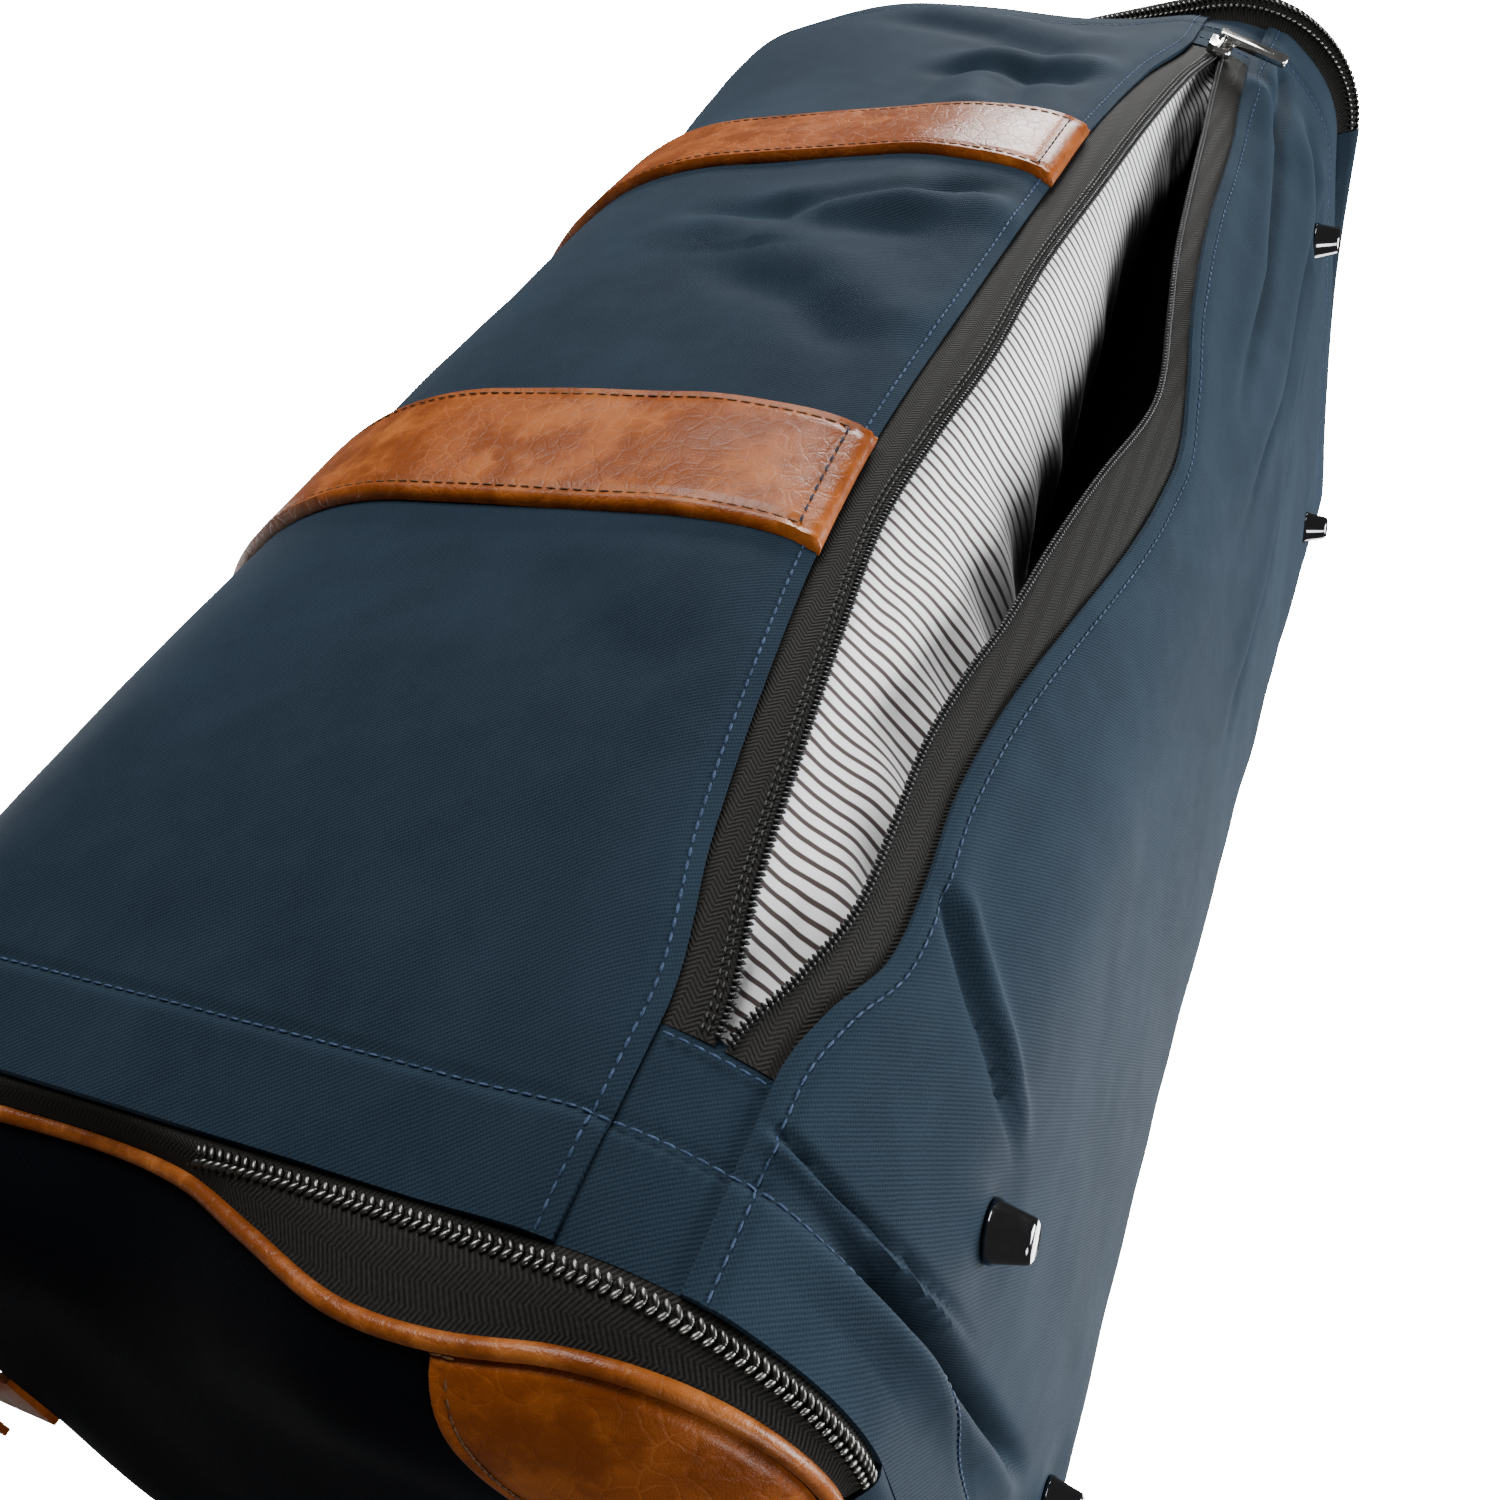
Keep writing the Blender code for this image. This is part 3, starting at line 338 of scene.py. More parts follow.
def curveThrough(*points):
    xs = [p[0] for p in points]
    ys = [p[1] for p in points]
    slopes = [0.0] + [
        (ys[i + 1] - ys[i - 1]) / (xs[i + 1] - xs[i - 1]) for i in range(1, len(xs) - 1)
    ] + [0.0]

    def at(x):
        if x <= xs[0]:
            return ys[0]
        if x >= xs[-1]:
            return ys[-1]
        i = next(k for k in range(len(xs) - 1) if x <= xs[k + 1])
        width = xs[i + 1] - xs[i]
        t = (x - xs[i]) / width
        return (
            ys[i] * (1 + 2 * t) * (1 - t) ** 2 + slopes[i] * width * t * (1 - t) ** 2
            + ys[i + 1] * t * t * (3 - 2 * t) + slopes[i + 1] * width * t * t * (t - 1)
        )

    return at


# Girth of each line of the shoe pocket's mouth along the bag
lowerEdge = curveThrough(
    (-0.229, 0.1350), (-0.212, 0.1312), (-0.195, 0.1240), (-0.175, 0.1228), (-0.149, 0.1238),
    (-0.118, 0.1205), (-0.079, 0.1123), (-0.039, 0.1035), (0.000, 0.0984), (0.020, 0.0992),
    (0.040, 0.1045), (0.075, 0.1155), (0.117, 0.1225), (0.165, 0.1265), (0.229, 0.1350),
)
lowerTeeth = curveThrough(
    (-0.229, 0.1450), (-0.210, 0.1392), (-0.190, 0.1342), (-0.165, 0.1342), (-0.145, 0.1348),
    (-0.120, 0.1325), (-0.098, 0.1289), (-0.062, 0.1251), (-0.024, 0.1196), (0.015, 0.1125),
    (0.035, 0.1125), (0.063, 0.1194), (0.090, 0.1262), (0.123, 0.1318), (0.163, 0.1375),
    (0.199, 0.1428), (0.229, 0.1455),
)
upperTeeth = curveThrough(
    (-0.229, 0.1470), (-0.196, 0.1530), (-0.167, 0.1570), (-0.134, 0.1613), (-0.095, 0.1655),
    (-0.060, 0.1645), (-0.020, 0.1620), (0.030, 0.1622), (0.085, 0.1592), (0.144, 0.1560),
    (0.192, 0.1520), (0.229, 0.1470),
)
upperEdge = curveThrough(
    (-0.229, 0.1575), (-0.190, 0.1650), (-0.150, 0.1708), (-0.112, 0.1748), (-0.067, 0.1766),
    (0.000, 0.1748), (0.078, 0.1724), (0.118, 0.1712), (0.180, 0.1655), (0.229, 0.1575),
)


def section(x):
    full = max(0.0, 1 - (x / halfLength) ** 2)
    radius = bag["endCorner"] + (bag["midCorner"] - bag["endCorner"]) * full
    half = bag["endHalf"] + bag["bulge"] * full
    return half, radius


def halfGirth(x):
    half, radius = section(clamp(x, -halfLength, halfLength))
    return 2 * (half - radius) + math.pi * radius + bag["height"] - 2 * radius


def outline(x, girth):
    half, radius = section(clamp(x, -halfLength, halfLength))
    flat = half - radius
    quarter = radius * math.pi / 2
    side = bag["height"] - 2 * radius
    whole = 2 * flat + 2 * quarter + side
    girth = (girth + whole) % (2 * whole) - whole
    facing = -1 if girth >= 0 else 1
    left = abs(girth)
    if left <= flat:
        y, z, ny, nz = left, 0.0, 0.0, -1.0
    elif left <= flat + quarter:
        angle = (left - flat) / radius
        ny, nz = math.sin(angle), -math.cos(angle)
        y, z = flat + radius * ny, radius + radius * nz
    elif left <= flat + quarter + side:
        y, z, ny, nz = flat + radius, left - flat - quarter + radius, 1.0, 0.0
    elif left <= flat + 2 * quarter + side:
        angle = (left - flat - quarter - side) / radius
        ny, nz = math.cos(angle), math.sin(angle)
        y, z = flat + radius * ny, bag["height"] - radius + radius * nz
    else:
        y, z, ny, nz = whole - left, bag["height"], 0.0, 1.0
    return facing * y, z + bag["floor"], facing * ny, nz


# Folds pressed into the cloth: a line of (x, girth), how deep, how wide, and the ridge beside it
folds = [
    {"path": ((-0.2370, 0.1350), (-0.2395, 0.122), (-0.2405, 0.108), (-0.2385, 0.0867), (-0.2290, 0.0443)),
     "depth": 0.0024, "width": 0.0013, "ridge": 0.0016, "side": 1, "start": 0.15},
    {"path": ((-0.2465, 0.128), (-0.2462, 0.112), (-0.2458, 0.094), (-0.2430, 0.0704), (-0.2365, 0.0374),
              (-0.2285, -0.0032), (-0.2220, -0.0300)),
     "depth": 0.0120, "width": 0.0030, "ridge": 0.0042, "side": 1, "start": 0.50},
    {"path": ((-0.170, 0.121), (-0.179, 0.1142), (-0.188, 0.101), (-0.196, 0.084), (-0.199, 0.058)),
     "depth": 0.0026, "width": 0.0024, "ridge": 0.0026, "side": -1},
    {"path": ((0.030, 0.190), (0.020, 0.225), (0.022, 0.262)),
     "depth": 0.0040, "width": 0.0080, "ridge": 0.0036, "side": 1},
    {"path": ((0.062, 0.178), (0.045, 0.205), (0.030, 0.240), (0.035, 0.290)),
     "depth": 0.0040, "width": 0.0060, "ridge": 0.0042, "side": -1},
    {"path": ((0.152, 0.178), (0.165, 0.205), (0.168, 0.250)),
     "depth": 0.0034, "width": 0.0060, "ridge": 0.0034, "side": 1},
    {"path": ((-0.160, 0.185), (-0.150, 0.215), (-0.128, 0.245)),
     "depth": 0.0014, "width": 0.0110, "ridge": 0.0012, "side": 1},
    {"path": ((0.230, 0.132), (0.190, 0.108), (0.130, 0.090), (0.050, 0.080)),
     "depth": 0.0036, "width": 0.0042, "ridge": 0.0030, "side": 1},
    {"path": ((0.240, 0.110), (0.200, 0.075), (0.120, 0.055), (0.030, 0.048)),
     "depth": 0.0034, "width": 0.0050, "ridge": 0.0030, "side": 1},
    {"path": ((0.245, 0.085), (0.190, 0.040), (0.100, 0.022)),
     "depth": 0.0030, "width": 0.0055, "ridge": 0.0026, "side": 1},
    {"path": ((0.085, 0.180), (0.100, 0.195), (0.150, 0.205), (0.200, 0.200)),
     "depth": 0.0026, "width": 0.0070, "ridge": 0.0030, "side": -1},
    {"path": ((0.175, 0.185), (0.215, 0.230), (0.235, 0.290)),
     "depth": 0.0026, "width": 0.0080, "ridge": 0.0032, "side": 1},
    {"path": ((-0.045, 0.190), (-0.020, 0.220), (0.000, 0.260)),
     "depth": 0.0026, "width": 0.0080, "ridge": 0.0026, "side": 1},
    {"path": ((0.246, 0.125), (0.225, 0.118), (0.190, 0.112)),
     "depth": 0.0030, "width": 0.0036, "ridge": 0.0026, "side": 1},
    {"path": ((0.160, 0.020), (0.080, 0.000), (0.000, -0.010)),
     "depth": 0.0024, "width": 0.0065, "ridge": 0.0022, "side": 1},
]
for fold in folds:
    reach = 4 * fold["width"]
    fold["box"] = (
        min(p[0] for p in fold["path"]) - reach, max(p[0] for p in fold["path"]) + reach,
        min(p[1] for p in fold["path"]) - reach, max(p[1] for p in fold["path"]) + reach,
    )


def foldLift(x, girth):
    total = 0.0
    for fold in folds:
        low, high, under, over = fold["box"]
        if not (low < x < high and under < girth < over):
            continue
        best = (1.0, 0.0, 0.0)
        steps = len(fold["path"]) - 1
        for i, (a, b) in enumerate(zip(fold["path"], fold["path"][1:])):
            dx, dy = b[0] - a[0], b[1] - a[1]
            length = math.hypot(dx, dy)
            t = clamp(((x - a[0]) * dx + (girth - a[1]) * dy) / length ** 2)
            away = math.hypot(x - a[0] - dx * t, girth - a[1] - dy * t)
            if away < best[0]:
                turn = ((x - a[0]) * dy - (girth - a[1]) * dx) / length
                best = (away, turn, (i + t) / steps)
        away, turn, share = best
        strength = smooth(0.0, fold.get("start", 0.20), share) * smooth(1.0, 0.70, share)
        width = fold["width"]
        total -= fold["depth"] * strength * math.exp(-(away / width) ** 2)
        beside = turn * fold["side"]
        total += fold["ridge"] * strength * math.exp(-((beside - 2.0 * width) / (1.6 * width)) ** 2) * (
            math.exp(-((away - abs(turn)) / width) ** 2)
        )
    return total


def openCloth(x, girth):
    # Cloth held flat under a strap takes no folds
    return smooth(0.020, 0.034, abs(abs(x) - 0.093)) if abs(girth) > 0.165 else 1.0


def valley(distance, depth, width):
    return -depth * math.exp(-(distance / width) ** 2)


stitchWay = {"hem": 0.0205, "first": 0.0032, "lower": 0.0042}


def footGap(x, girth):
    return min(math.hypot(abs(x) - 0.214, abs(girth) - 0.065), 1.0)


def drape(x, girth):
    rise = 0.0011 * noise.noise((x * 13, girth * 13, 1.7)) + 0.0004 * noise.noise((x * 42, girth * 36, 5.1))
    rise += foldLift(x, girth) * openCloth(x, girth)
    hem = halfLength - abs(x)
    rise += valley(hem - stitchWay["hem"], 0.0007, 0.0013) + 0.0007 * smooth(0.0215, 0.0195, hem)
    above = girth - (upperEdge(x) if abs(x) < bag["mouthHalf"] else bag["upperSeam"])
    if -0.001 <= above < 0.03:
        rise += 0.0011 * smooth(0.0, 0.0045, above) * smooth(0.03, 0.008, above)
        rise += valley(above - stitchWay["first"], 0.0006, 0.0010)
    below = (lowerEdge(x) if abs(x) < bag["mouthHalf"] else bag["lowerSeam"]) - girth
    if girth > 0 and -0.001 <= below < 0.02:
        rise += 0.0009 * smooth(0.0, 0.0035, below) * smooth(0.02, 0.006, below)
        rise += valley(below - stitchWay["lower"], 0.0006, 0.0011)
    rise += 0.017 * smooth(0.13, 0.255, x) * math.exp(-((girth - 0.285) / 0.070) ** 2)
    if abs(girth) < 0.11:
        pillow = 0.0036 * (1 - (girth / 0.11) ** 2) * (1 - (x / halfLength) ** 4)
        rise = rise + pillow
        rise *= smooth(0.004, 0.022, footGap(x, girth))
    return rise


def skin(x, girth, lift=0.0):
    y, z, ny, nz = outline(x, girth)
    return Vector((x, y + ny * lift, z + nz * lift))


def seat(x, girth, lift=0.0, way=(1.0, 0.0), surface=skin):
    here = surface(x, girth, lift)
    step = 0.0005
    ahead = surface(x + way[0] * step, girth + way[1] * step, lift) - here
    _, _, ny, nz = outline(x, girth)
    forward = ahead.normalized()
    across = Vector((0, ny, nz)).cross(forward).normalized()
    out = forward.cross(across)
    return Matrix.Translation(here) @ Matrix((forward, across, out)).transposed().to_4x4()


def onCloth(x, girth, lift=0.0):
    return skin(x, girth, lift + drape(x, girth))


def spread(first, last, steps):
    return [first + (last - first) * i / steps for i in range(steps + 1)]


# Makers


def finishMesh(name, bm, finish, body="root", smoothAngle=60, nodes=()):
    mesh = bpy.data.meshes.new(name)
    bm.to_mesh(mesh)
    bm.free()
    mesh.shade_smooth()
    if smoothAngle:
        mesh.set_sharp_from_angle(angle=math.radians(smoothAngle))
    mesh.materials.append(finishes[finish])
    piece = bpy.data.objects.new(name, mesh)
    bpy.context.scene.collection.objects.link(piece)
    if body:
        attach(piece, body)
    if nodes:
        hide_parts(*nodes)
    return piece


def gridPiece(name, finish, columns, rows, place, rim=2, body="root", nodes=(), flip=False, weld=False):
    bm = bmesh.new()
    bmesh.ops.create_grid(bm, x_segments=columns, y_segments=rows, size=0.5)
    bmesh.ops.translate(bm, vec=(0.5, 0.5, 0), verts=bm.verts)
    for _ in range(rim):
        edges = [e for e in bm.edges if e.is_boundary]
        grown = bmesh.ops.extrude_edge_only(bm, edges=edges)["geom"]
        bmesh.ops.translate(bm, vec=(0, 0, -1), verts=[v for v in grown if isinstance(v, bmesh.types.BMVert)])
    layer = bm.loops.layers.uv.new("cloth")
    share = bm.verts.layers.float.new("amount")  # how far into shadow, or how far a lip carries it
    spots = {}
    for vertex in bm.verts:
        along, across, depth = vertex.co
        point, spot, *amount = place(along, across, round(-depth))
        spots[vertex] = spot
        vertex[share] = amount[0] if amount else 0.0
        vertex.co = point
    for face in bm.faces:
        for loop in face.loops:
            loop[layer].uv = spots[loop.vert]
    if flip:
        bmesh.ops.reverse_faces(bm, faces=bm.faces)
    if weld:
        bmesh.ops.remove_doubles(bm, verts=bm.verts, dist=0.00001)
    return finishMesh(name, bm, finish, body, nodes=nodes)


def clothPanel(name, finish, stations, low, high, rows, lift=None, thick=0.0016, turn=0.007,
               body="root", nodes=(), surface=onCloth, carried=None):
    columns = len(stations) - 1
    centre = (stations[0] + stations[-1]) / 2

    def place(along, across, depth):
        x = stations[round(along * columns)]
        bottom, top = low(x), high(x)
        girth = bottom + (top - bottom) * across
        height = lift(x, across) if lift else 0.0
        if depth:
            height -= thick
        if depth == 2:
            if along in (0.0, 1.0):
                x += turn * (1 if x < centre else -1)
            if across in (0.0, 1.0):
                girth += min(turn, (top - bottom) / 3) * (1 if across == 0.0 else -1)
            height -= 0.0006
        amount = carried(x, girth) if carried else 0.0
        return surface(x, girth, height), (x, girth), amount

    return gridPiece(name, finish, columns, rows, place, body=body, nodes=nodes)


def walk(line, pitch, surface=onCloth, samples=500, lift=0.0):
    marks = [line(i / samples) for i in range(samples + 1)]
    points = [surface(*mark, lift) for mark in marks]
    lengths = [0.0]
    for a, b in zip(points, points[1:]):
        lengths.append(lengths[-1] + (b - a).length)
    count = max(1, round(lengths[-1] / pitch))
    found = []
    i = 0
    for k in range(count):
        target = lengths[-1] * (k + 0.5) / count
        while lengths[i + 1] < target:
            i += 1
        share = (target - lengths[i]) / (lengths[i + 1] - lengths[i])
        x = marks[i][0] + (marks[i + 1][0] - marks[i][0]) * share
        girth = marks[i][1] + (marks[i + 1][1] - marks[i][1]) * share
        way = (marks[i + 1][0] - marks[i][0], marks[i + 1][1] - marks[i][1])
        size = math.hypot(*way)
        found.append(seat(x, girth, lift, (way[0] / size, way[1] / size), surface))
    return found


def bead(length, width, height, around=6, along=5):
    bm = bmesh.new()
    bmesh.ops.create_uvsphere(bm, u_segments=around, v_segments=along, radius=0.5)
    turn = Matrix.Rotation(math.pi / 2, 4, "Y")
    bmesh.ops.transform(bm, matrix=Matrix.Diagonal((length, width, height, 1)) @ turn, verts=bm.verts)
    mesh = bpy.data.meshes.new("bead")
    bm.to_mesh(mesh)
    bm.free()
    return mesh


def scatter(name, finish, seats, shape, body="root", nodes=()):
    bm = bmesh.new()
    for spot in seats:
        copy = shape.copy()
        copy.transform(spot)
        bm.from_mesh(copy)
        bpy.data.meshes.remove(copy)
    return finishMesh(name, bm, finish, body, smoothAngle=0, nodes=nodes)


def stitchRow(name, finish, lines, pitch=0.0030, length=0.0024, width=0.00066, lift=0.0003,
              surface=onCloth, body="root"):
    seats = []
    for line in lines:
        seats += walk(line, pitch, surface, lift=lift)
    return scatter(name, finish, seats, bead(length, width, width * 0.9), body)


def tubePiece(name, finish, frames, radius, closed=True, body="root", nodes=(), around=12):
    columns = len(frames) - (0 if closed else 1)
    run = [0.0]
    for a, b in zip(frames, frames[1:] + frames[:1]):
        run.append(run[-1] + (b.translation - a.translation).length)

    def place(along, across, depth):
        i = round(along * columns)
        spot = frames[i % len(frames)]
        turn = 2 * math.pi * across
        size = radius(i / columns) if callable(radius) else radius
        if depth:
            return spot.translation, (run[i], across * 0.01)
        return spot @ Vector((0, size * math.cos(turn), size * math.sin(turn))), (run[i], across * 0.01)

    return gridPiece(name, finish, columns, around, place, rim=0 if closed else 1, body=body, nodes=nodes,
                     weld=True)


def refined(node, finish, levels=1, name=None):
    body = frame["nodes"][node]["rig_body"]
    bm = bmesh.new()
    bm.from_mesh(frame["nodes"][node].data)
    bmesh.ops.remove_doubles(bm, verts=bm.verts, dist=0.00002)
    bmesh.ops.recalc_face_normals(bm, faces=bm.faces)
    piece = finishMesh(name or node + "_made", bm, finish, body, 35, (node,))
    if levels:
        smoothing = piece.modifiers.new("Subdivision", "SUBSURF")
        smoothing.levels = smoothing.render_levels = levels
    return piece


# Cloth panels

fine = 1
panel = {"columns": int(300 * fine), "frontRows": int(165 * fine), "bottomRows": int(190 * fine),
         "backRows": int(110 * fine)}


def upperLine(x):
    return upperEdge(x) if abs(x) < bag["mouthHalf"] else bag["upperSeam"]


def lowerLine(x):
    return lowerEdge(x) if abs(x) < bag["mouthHalf"] else bag["lowerSeam"]


def topLine(x):
    return halfGirth(x) - 0.0132


nearColumns = int(64 * fine)
stations = spread(-halfLength, -0.200, nearColumns)[:-1] + spread(-0.200, halfLength, panel["columns"] - nearColumns)
frontPanel = clothPanel("front_cloth", "navyTwill", stations, upperLine, topLine, panel["frontRows"],
                        nodes=("front_panel",))
backPanel = clothPanel("back_cloth", "navyTwill", spread(-halfLength, halfLength, int(200 * fine)),
                       lambda x: -topLine(x), lambda x: -bag["lowerSeam"] - 0.0004, panel["backRows"],
                       nodes=("back_panel",))
lip = {"slack": 0.062, "closed": 0.1455, "sag": 0.033}


def lipShare(x):
    # How much of the lip's own travel a point at this station has to make
    return clamp((lip["closed"] - lowerTeeth(x)) / lip["sag"]) if abs(x) < bag["mouthHalf"] else 0.0


def lipPull(x, girth):
    edge = lowerLine(x)
    return lipShare(x) * smooth(edge - lip["slack"], edge, girth)


def carryWithLip(piece, amounts=None):
    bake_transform(piece)
    if amounts is None:
        amounts = [entry.value for entry in piece.data.attributes["amount"].data]


bottomPanel = clothPanel("bottom_cloth", "navyTwill", stations, lambda x: -bag["lowerSeam"] + 0.0004,
                         lowerLine, panel["bottomRows"], body=None, nodes=("bottom_panel",), carried=lipPull)
carryWithLip(bottomPanel)
for side, word in ((-1, "left"), (1, "right")):
    tab = clothPanel(f"pocket_tab_cloth_{word}", "navyTwill",
               spread(side * (bag["mouthHalf"] - 0.0015), side * halfLength, 26)[::side],
               lambda x: bag["lowerSeam"] - 0.0002, lambda x: bag["upperSeam"] + 0.0002, 16,
               lift=lambda x, across: -0.0013, nodes=(f"pocket_tab_{word}",))


def cut(low, high, first=-halfLength, last=halfLength):
    heights = [high(x) - low(x) for x in spread(first, last, 40)]
    return (last - first, max(heights)), sum(heights) / len(heights) * (last - first)


flat, area = cut(upperLine, topLine)
flat, area = cut(lambda x: bag["lowerSeam"], topLine)
flat, area = cut(lambda x: -bag["lowerSeam"], lowerLine)
print("cloth panels made")

stitchRow("upper_seam_stitches", "blueThread", [
    lambda t: (-halfLength + 2 * halfLength * t, upperLine(-halfLength + 2 * halfLength * t) + stitchWay["first"]),
])
lipStitches = stitchRow("lip_stitches", "blueThread", [
    lambda t: (-halfLength + 2 * halfLength * t, lowerLine(-halfLength + 2 * halfLength * t) - stitchWay["lower"]),
], width=0.00050, body=None)
carryWithLip(lipStitches, [lipPull(v.co.x, lowerLine(v.co.x) - stitchWay["lower"]) for v in lipStitches.data.vertices])
stitchRow("back_seam_stitches", "blueThread", [
    lambda t: (-halfLength + 2 * halfLength * t, -bag["lowerSeam"] - stitchWay["lower"]),
], width=0.00050)
hemLines = [
    lambda t, s=s: (s * (halfLength - stitchWay["hem"]), -bag["sill"] - 0.35 + (0.7 + 2 * bag["sill"]) * t)
    for s in (-1, 1)
]
stitchRow("hem_stitches", "blueThread", hemLines)
print("cloth stitched")

# Shoe pocket

mouth = spread(-bag["mouthHalf"], bag["mouthHalf"], int(230 * fine))
gape = curveThrough((-0.229, 0.0), (-0.12, 0.3), (0.0, 0.85), (0.08, 1.0), (0.17, 0.7), (0.229, 0.0))
upperTape = clothPanel("upper_tape_cloth", "zipTape", mouth, upperTeeth, lambda x: upperEdge(x) + 0.004, 10,
           lift=lambda x, across: -0.0012 - 0.0003 * across, thick=0.0007, turn=0.001,
           surface=skin, nodes=("pocket_upper_tape",))
lowerTape = clothPanel(
    "lower_tape_cloth", "zipTape", mouth, lambda x: lowerEdge(x) - 0.004, lowerTeeth, 12,
    lift=lambda x, across: -0.0012 - 0.0030 * gape(x) * smooth(0.3, 1.0, across) + drape(x, lowerEdge(x)) * 0.5,
    thick=0.0007, turn=0.001, body=None, surface=skin, nodes=("pocket_lower_tape",))
flat, area = cut(upperTeeth, upperEdge, -bag["mouthHalf"], bag["mouthHalf"])
tooth = bead(0.00095, 0.0022, 0.0015, 6, 5)


def mouthLine(curve, offset=0.0):
    return lambda t: (-0.228 + 0.456 * t, curve(-0.228 + 0.456 * t) + offset)


scatter("upper_teeth", "coilBlack", walk(mouthLine(upperTeeth, 0.0001), 0.00135, skin, lift=-0.0006), tooth,
        nodes=("pocket_upper_chain",))
def lowerMouth(x, girth, lift=0.0):
    return skin(x, girth, lift - 0.0030 * gape(x))


carryWithLip(lowerTape, [lipShare(v.co.x) for v in lowerTape.data.vertices])
lowerCoil = scatter("lower_teeth", "coilBlack",
                    walk(mouthLine(lowerTeeth, -0.0001), 0.00135, lowerMouth, lift=-0.0006), tooth,
                    body=None, nodes=("pocket_lower_chain",))
carryWithLip(lowerCoil, [lipShare(v.co.x) for v in lowerCoil.data.vertices])
tapeStitches = [mouthLine(lambda x: upperTeeth(x) + 0.0022), mouthLine(lambda x: upperTeeth(x) + 0.0034)]
stitchRow("upper_tape_stitches", "coilBlack", tapeStitches, 0.0022, 0.0015, 0.0005, -0.0008, skin)
depth = curveThrough((-0.229, 0.003), (-0.19, 0.005), (-0.14, 0.008), (-0.09, 0.014), (-0.04, 0.028),
                     (0.02, 0.042), (0.12, 0.044), (0.19, 0.026), (0.229, 0.004))


def liningPlace(along, across, layer):
    x = -bag["mouthHalf"] + 2 * bag["mouthHalf"] * along
    top = upperTeeth(x) + 0.003
    low = lowerTeeth(x) - 0.014 - 0.006 * gape(x)
    girth = top + (low - top) * across
    wave = 0.0016 * math.sin(x * 2 * math.pi / 0.031 + 3 * across) * smooth(0.2, 0.8, across)
    wave += 0.0030 * noise.noise((x * 26, across * 2.2, 9.0)) * smooth(0.1, 0.6, across)
    flat = 0.0034 + 0.0022 * smooth(0.0, 0.25, across)
    lift = -flat - depth(x) * across ** 1.5 + wave
    # The third value is painted shade: the lining is made darker the deeper it sinks into the pocket.
    return skin(x, girth, lift), (x, girth), smooth(0.004, 0.021, depth(x) * across ** 1.5)


lining = gridPiece("pocket_lining_cloth", "stripedLining", int(300 * fine), 40, liningPlace, rim=0,
          nodes=("pocket_lining",), flip=True)


def pocketBackPlace(along, across, layer):
    x = -bag["mouthHalf"] + 2 * bag["mouthHalf"] * along
    girth = lowerTeeth(x) - 0.002 - 0.018 * across
    lift = -0.0052 - (0.003 + depth(x) * 0.97) * across ** 0.7
    return skin(x, girth, lift), (x, girth), lipPull(x, girth - 0.004)


# A wall under the lower lip whose near-black colour is painted shade for the pocket's depths.
pocketShadeWall = gridPiece("pocket_lower_wall_painted_shade", "pocketDark", 90, 12, pocketBackPlace, rim=0, body=None)
carryWithLip(pocketShadeWall)
stitchRow("tab_stitches", "blueThread", [
    lambda t, s=s: (s * (bag["mouthHalf"] + 0.0022), bag["lowerSeam"] + 0.001 + 0.0205 * t) for s in (-1, 1)
], 0.0030, 0.0023)
print("pocket made")

# Straps

strap = {"x": 0.0930, "half": 0.0212, "thick": 0.0027, "stitch": 0.0031, "end": 0.080, "fold": 0.0065}


def strapPlace(middle, start, finishGirth):
    def place(along, across, depth):
        side = along * 2 - 1
        x = middle + strap["half"] * side
        low = start(x)
        girth = low + (finishGirth - low) * across
        edge = strap["half"] * (1 - abs(side))
        end = abs(girth - low)
        round_ = math.sqrt(clamp(1 - (1 - clamp(edge / 0.0020)) ** 2)) * math.sqrt(
            clamp(1 - (1 - clamp(end / 0.0022)) ** 2))
        dip = valley(edge - strap["stitch"], 0.0007, 0.0008) + valley(end - strap["fold"], 0.0007, 0.0008)
        lift = 0.0006 + strap["thick"] * (0.25 + 0.75 * round_) + dip * smooth(0.001, 0.002, edge)
        lift += 0.0004 * noise.noise((x * 60, girth * 40, 2.0))
        if depth:
            lift = -0.0002
        return skin(x, girth, lift + drape(middle, girth) * 0.7), (x, girth)
    return place


def strapSurface(middle):
    return lambda x, girth, lift=0.0: skin(x, girth, lift + drape(middle, girth) * 0.7 + 0.0006 + strap["thick"] - 0.0005)


for face, facing in (("front", 1), ("back", -1)):
    for side, word in ((-1, "left"), (1, "right")):
        middle = side * strap["x"]
        top = facing * (halfGirth(strap["x"]) - strap["end"])
        start = (lambda x: upperLine(x) - 0.0006) if facing > 0 else (lambda x: -bag["lowerSeam"] - 0.0006)
        gridPiece(f"{face}_strap_leather_{word}", "tanLeather", 36, 150, strapPlace(middle, start, top), rim=1,
                  nodes=(f"{face}_strap_{word}",), flip=facing < 0)
        lines = [
            lambda t, o=o, m=middle, s=start, e=top: (m + o, s(m + o) + facing * 0.006 + (e - s(m + o) - facing * 0.006) * t)
            for o in (-strap["half"] + strap["stitch"], strap["half"] - strap["stitch"])
        ]
        stitchRow(f"{face}_strap_stitches_{word}", "tanThread", lines, 0.0036, 0.0028, 0.00055, 0.0002,
                  strapSurface(middle))
        cross = [lambda t, m=middle, s=start: (m + (strap["half"] - 0.003) * (2 * t - 1),
                                               s(m + strap["half"] * (2 * t - 1)) + facing * strap["fold"])]
        stitchRow(f"{face}_strap_end_stitches_{word}", "darkThread", cross, 0.0036, 0.0028, 0.0006, 0.0002,
                  strapSurface(middle))
print("straps made")

# Ends

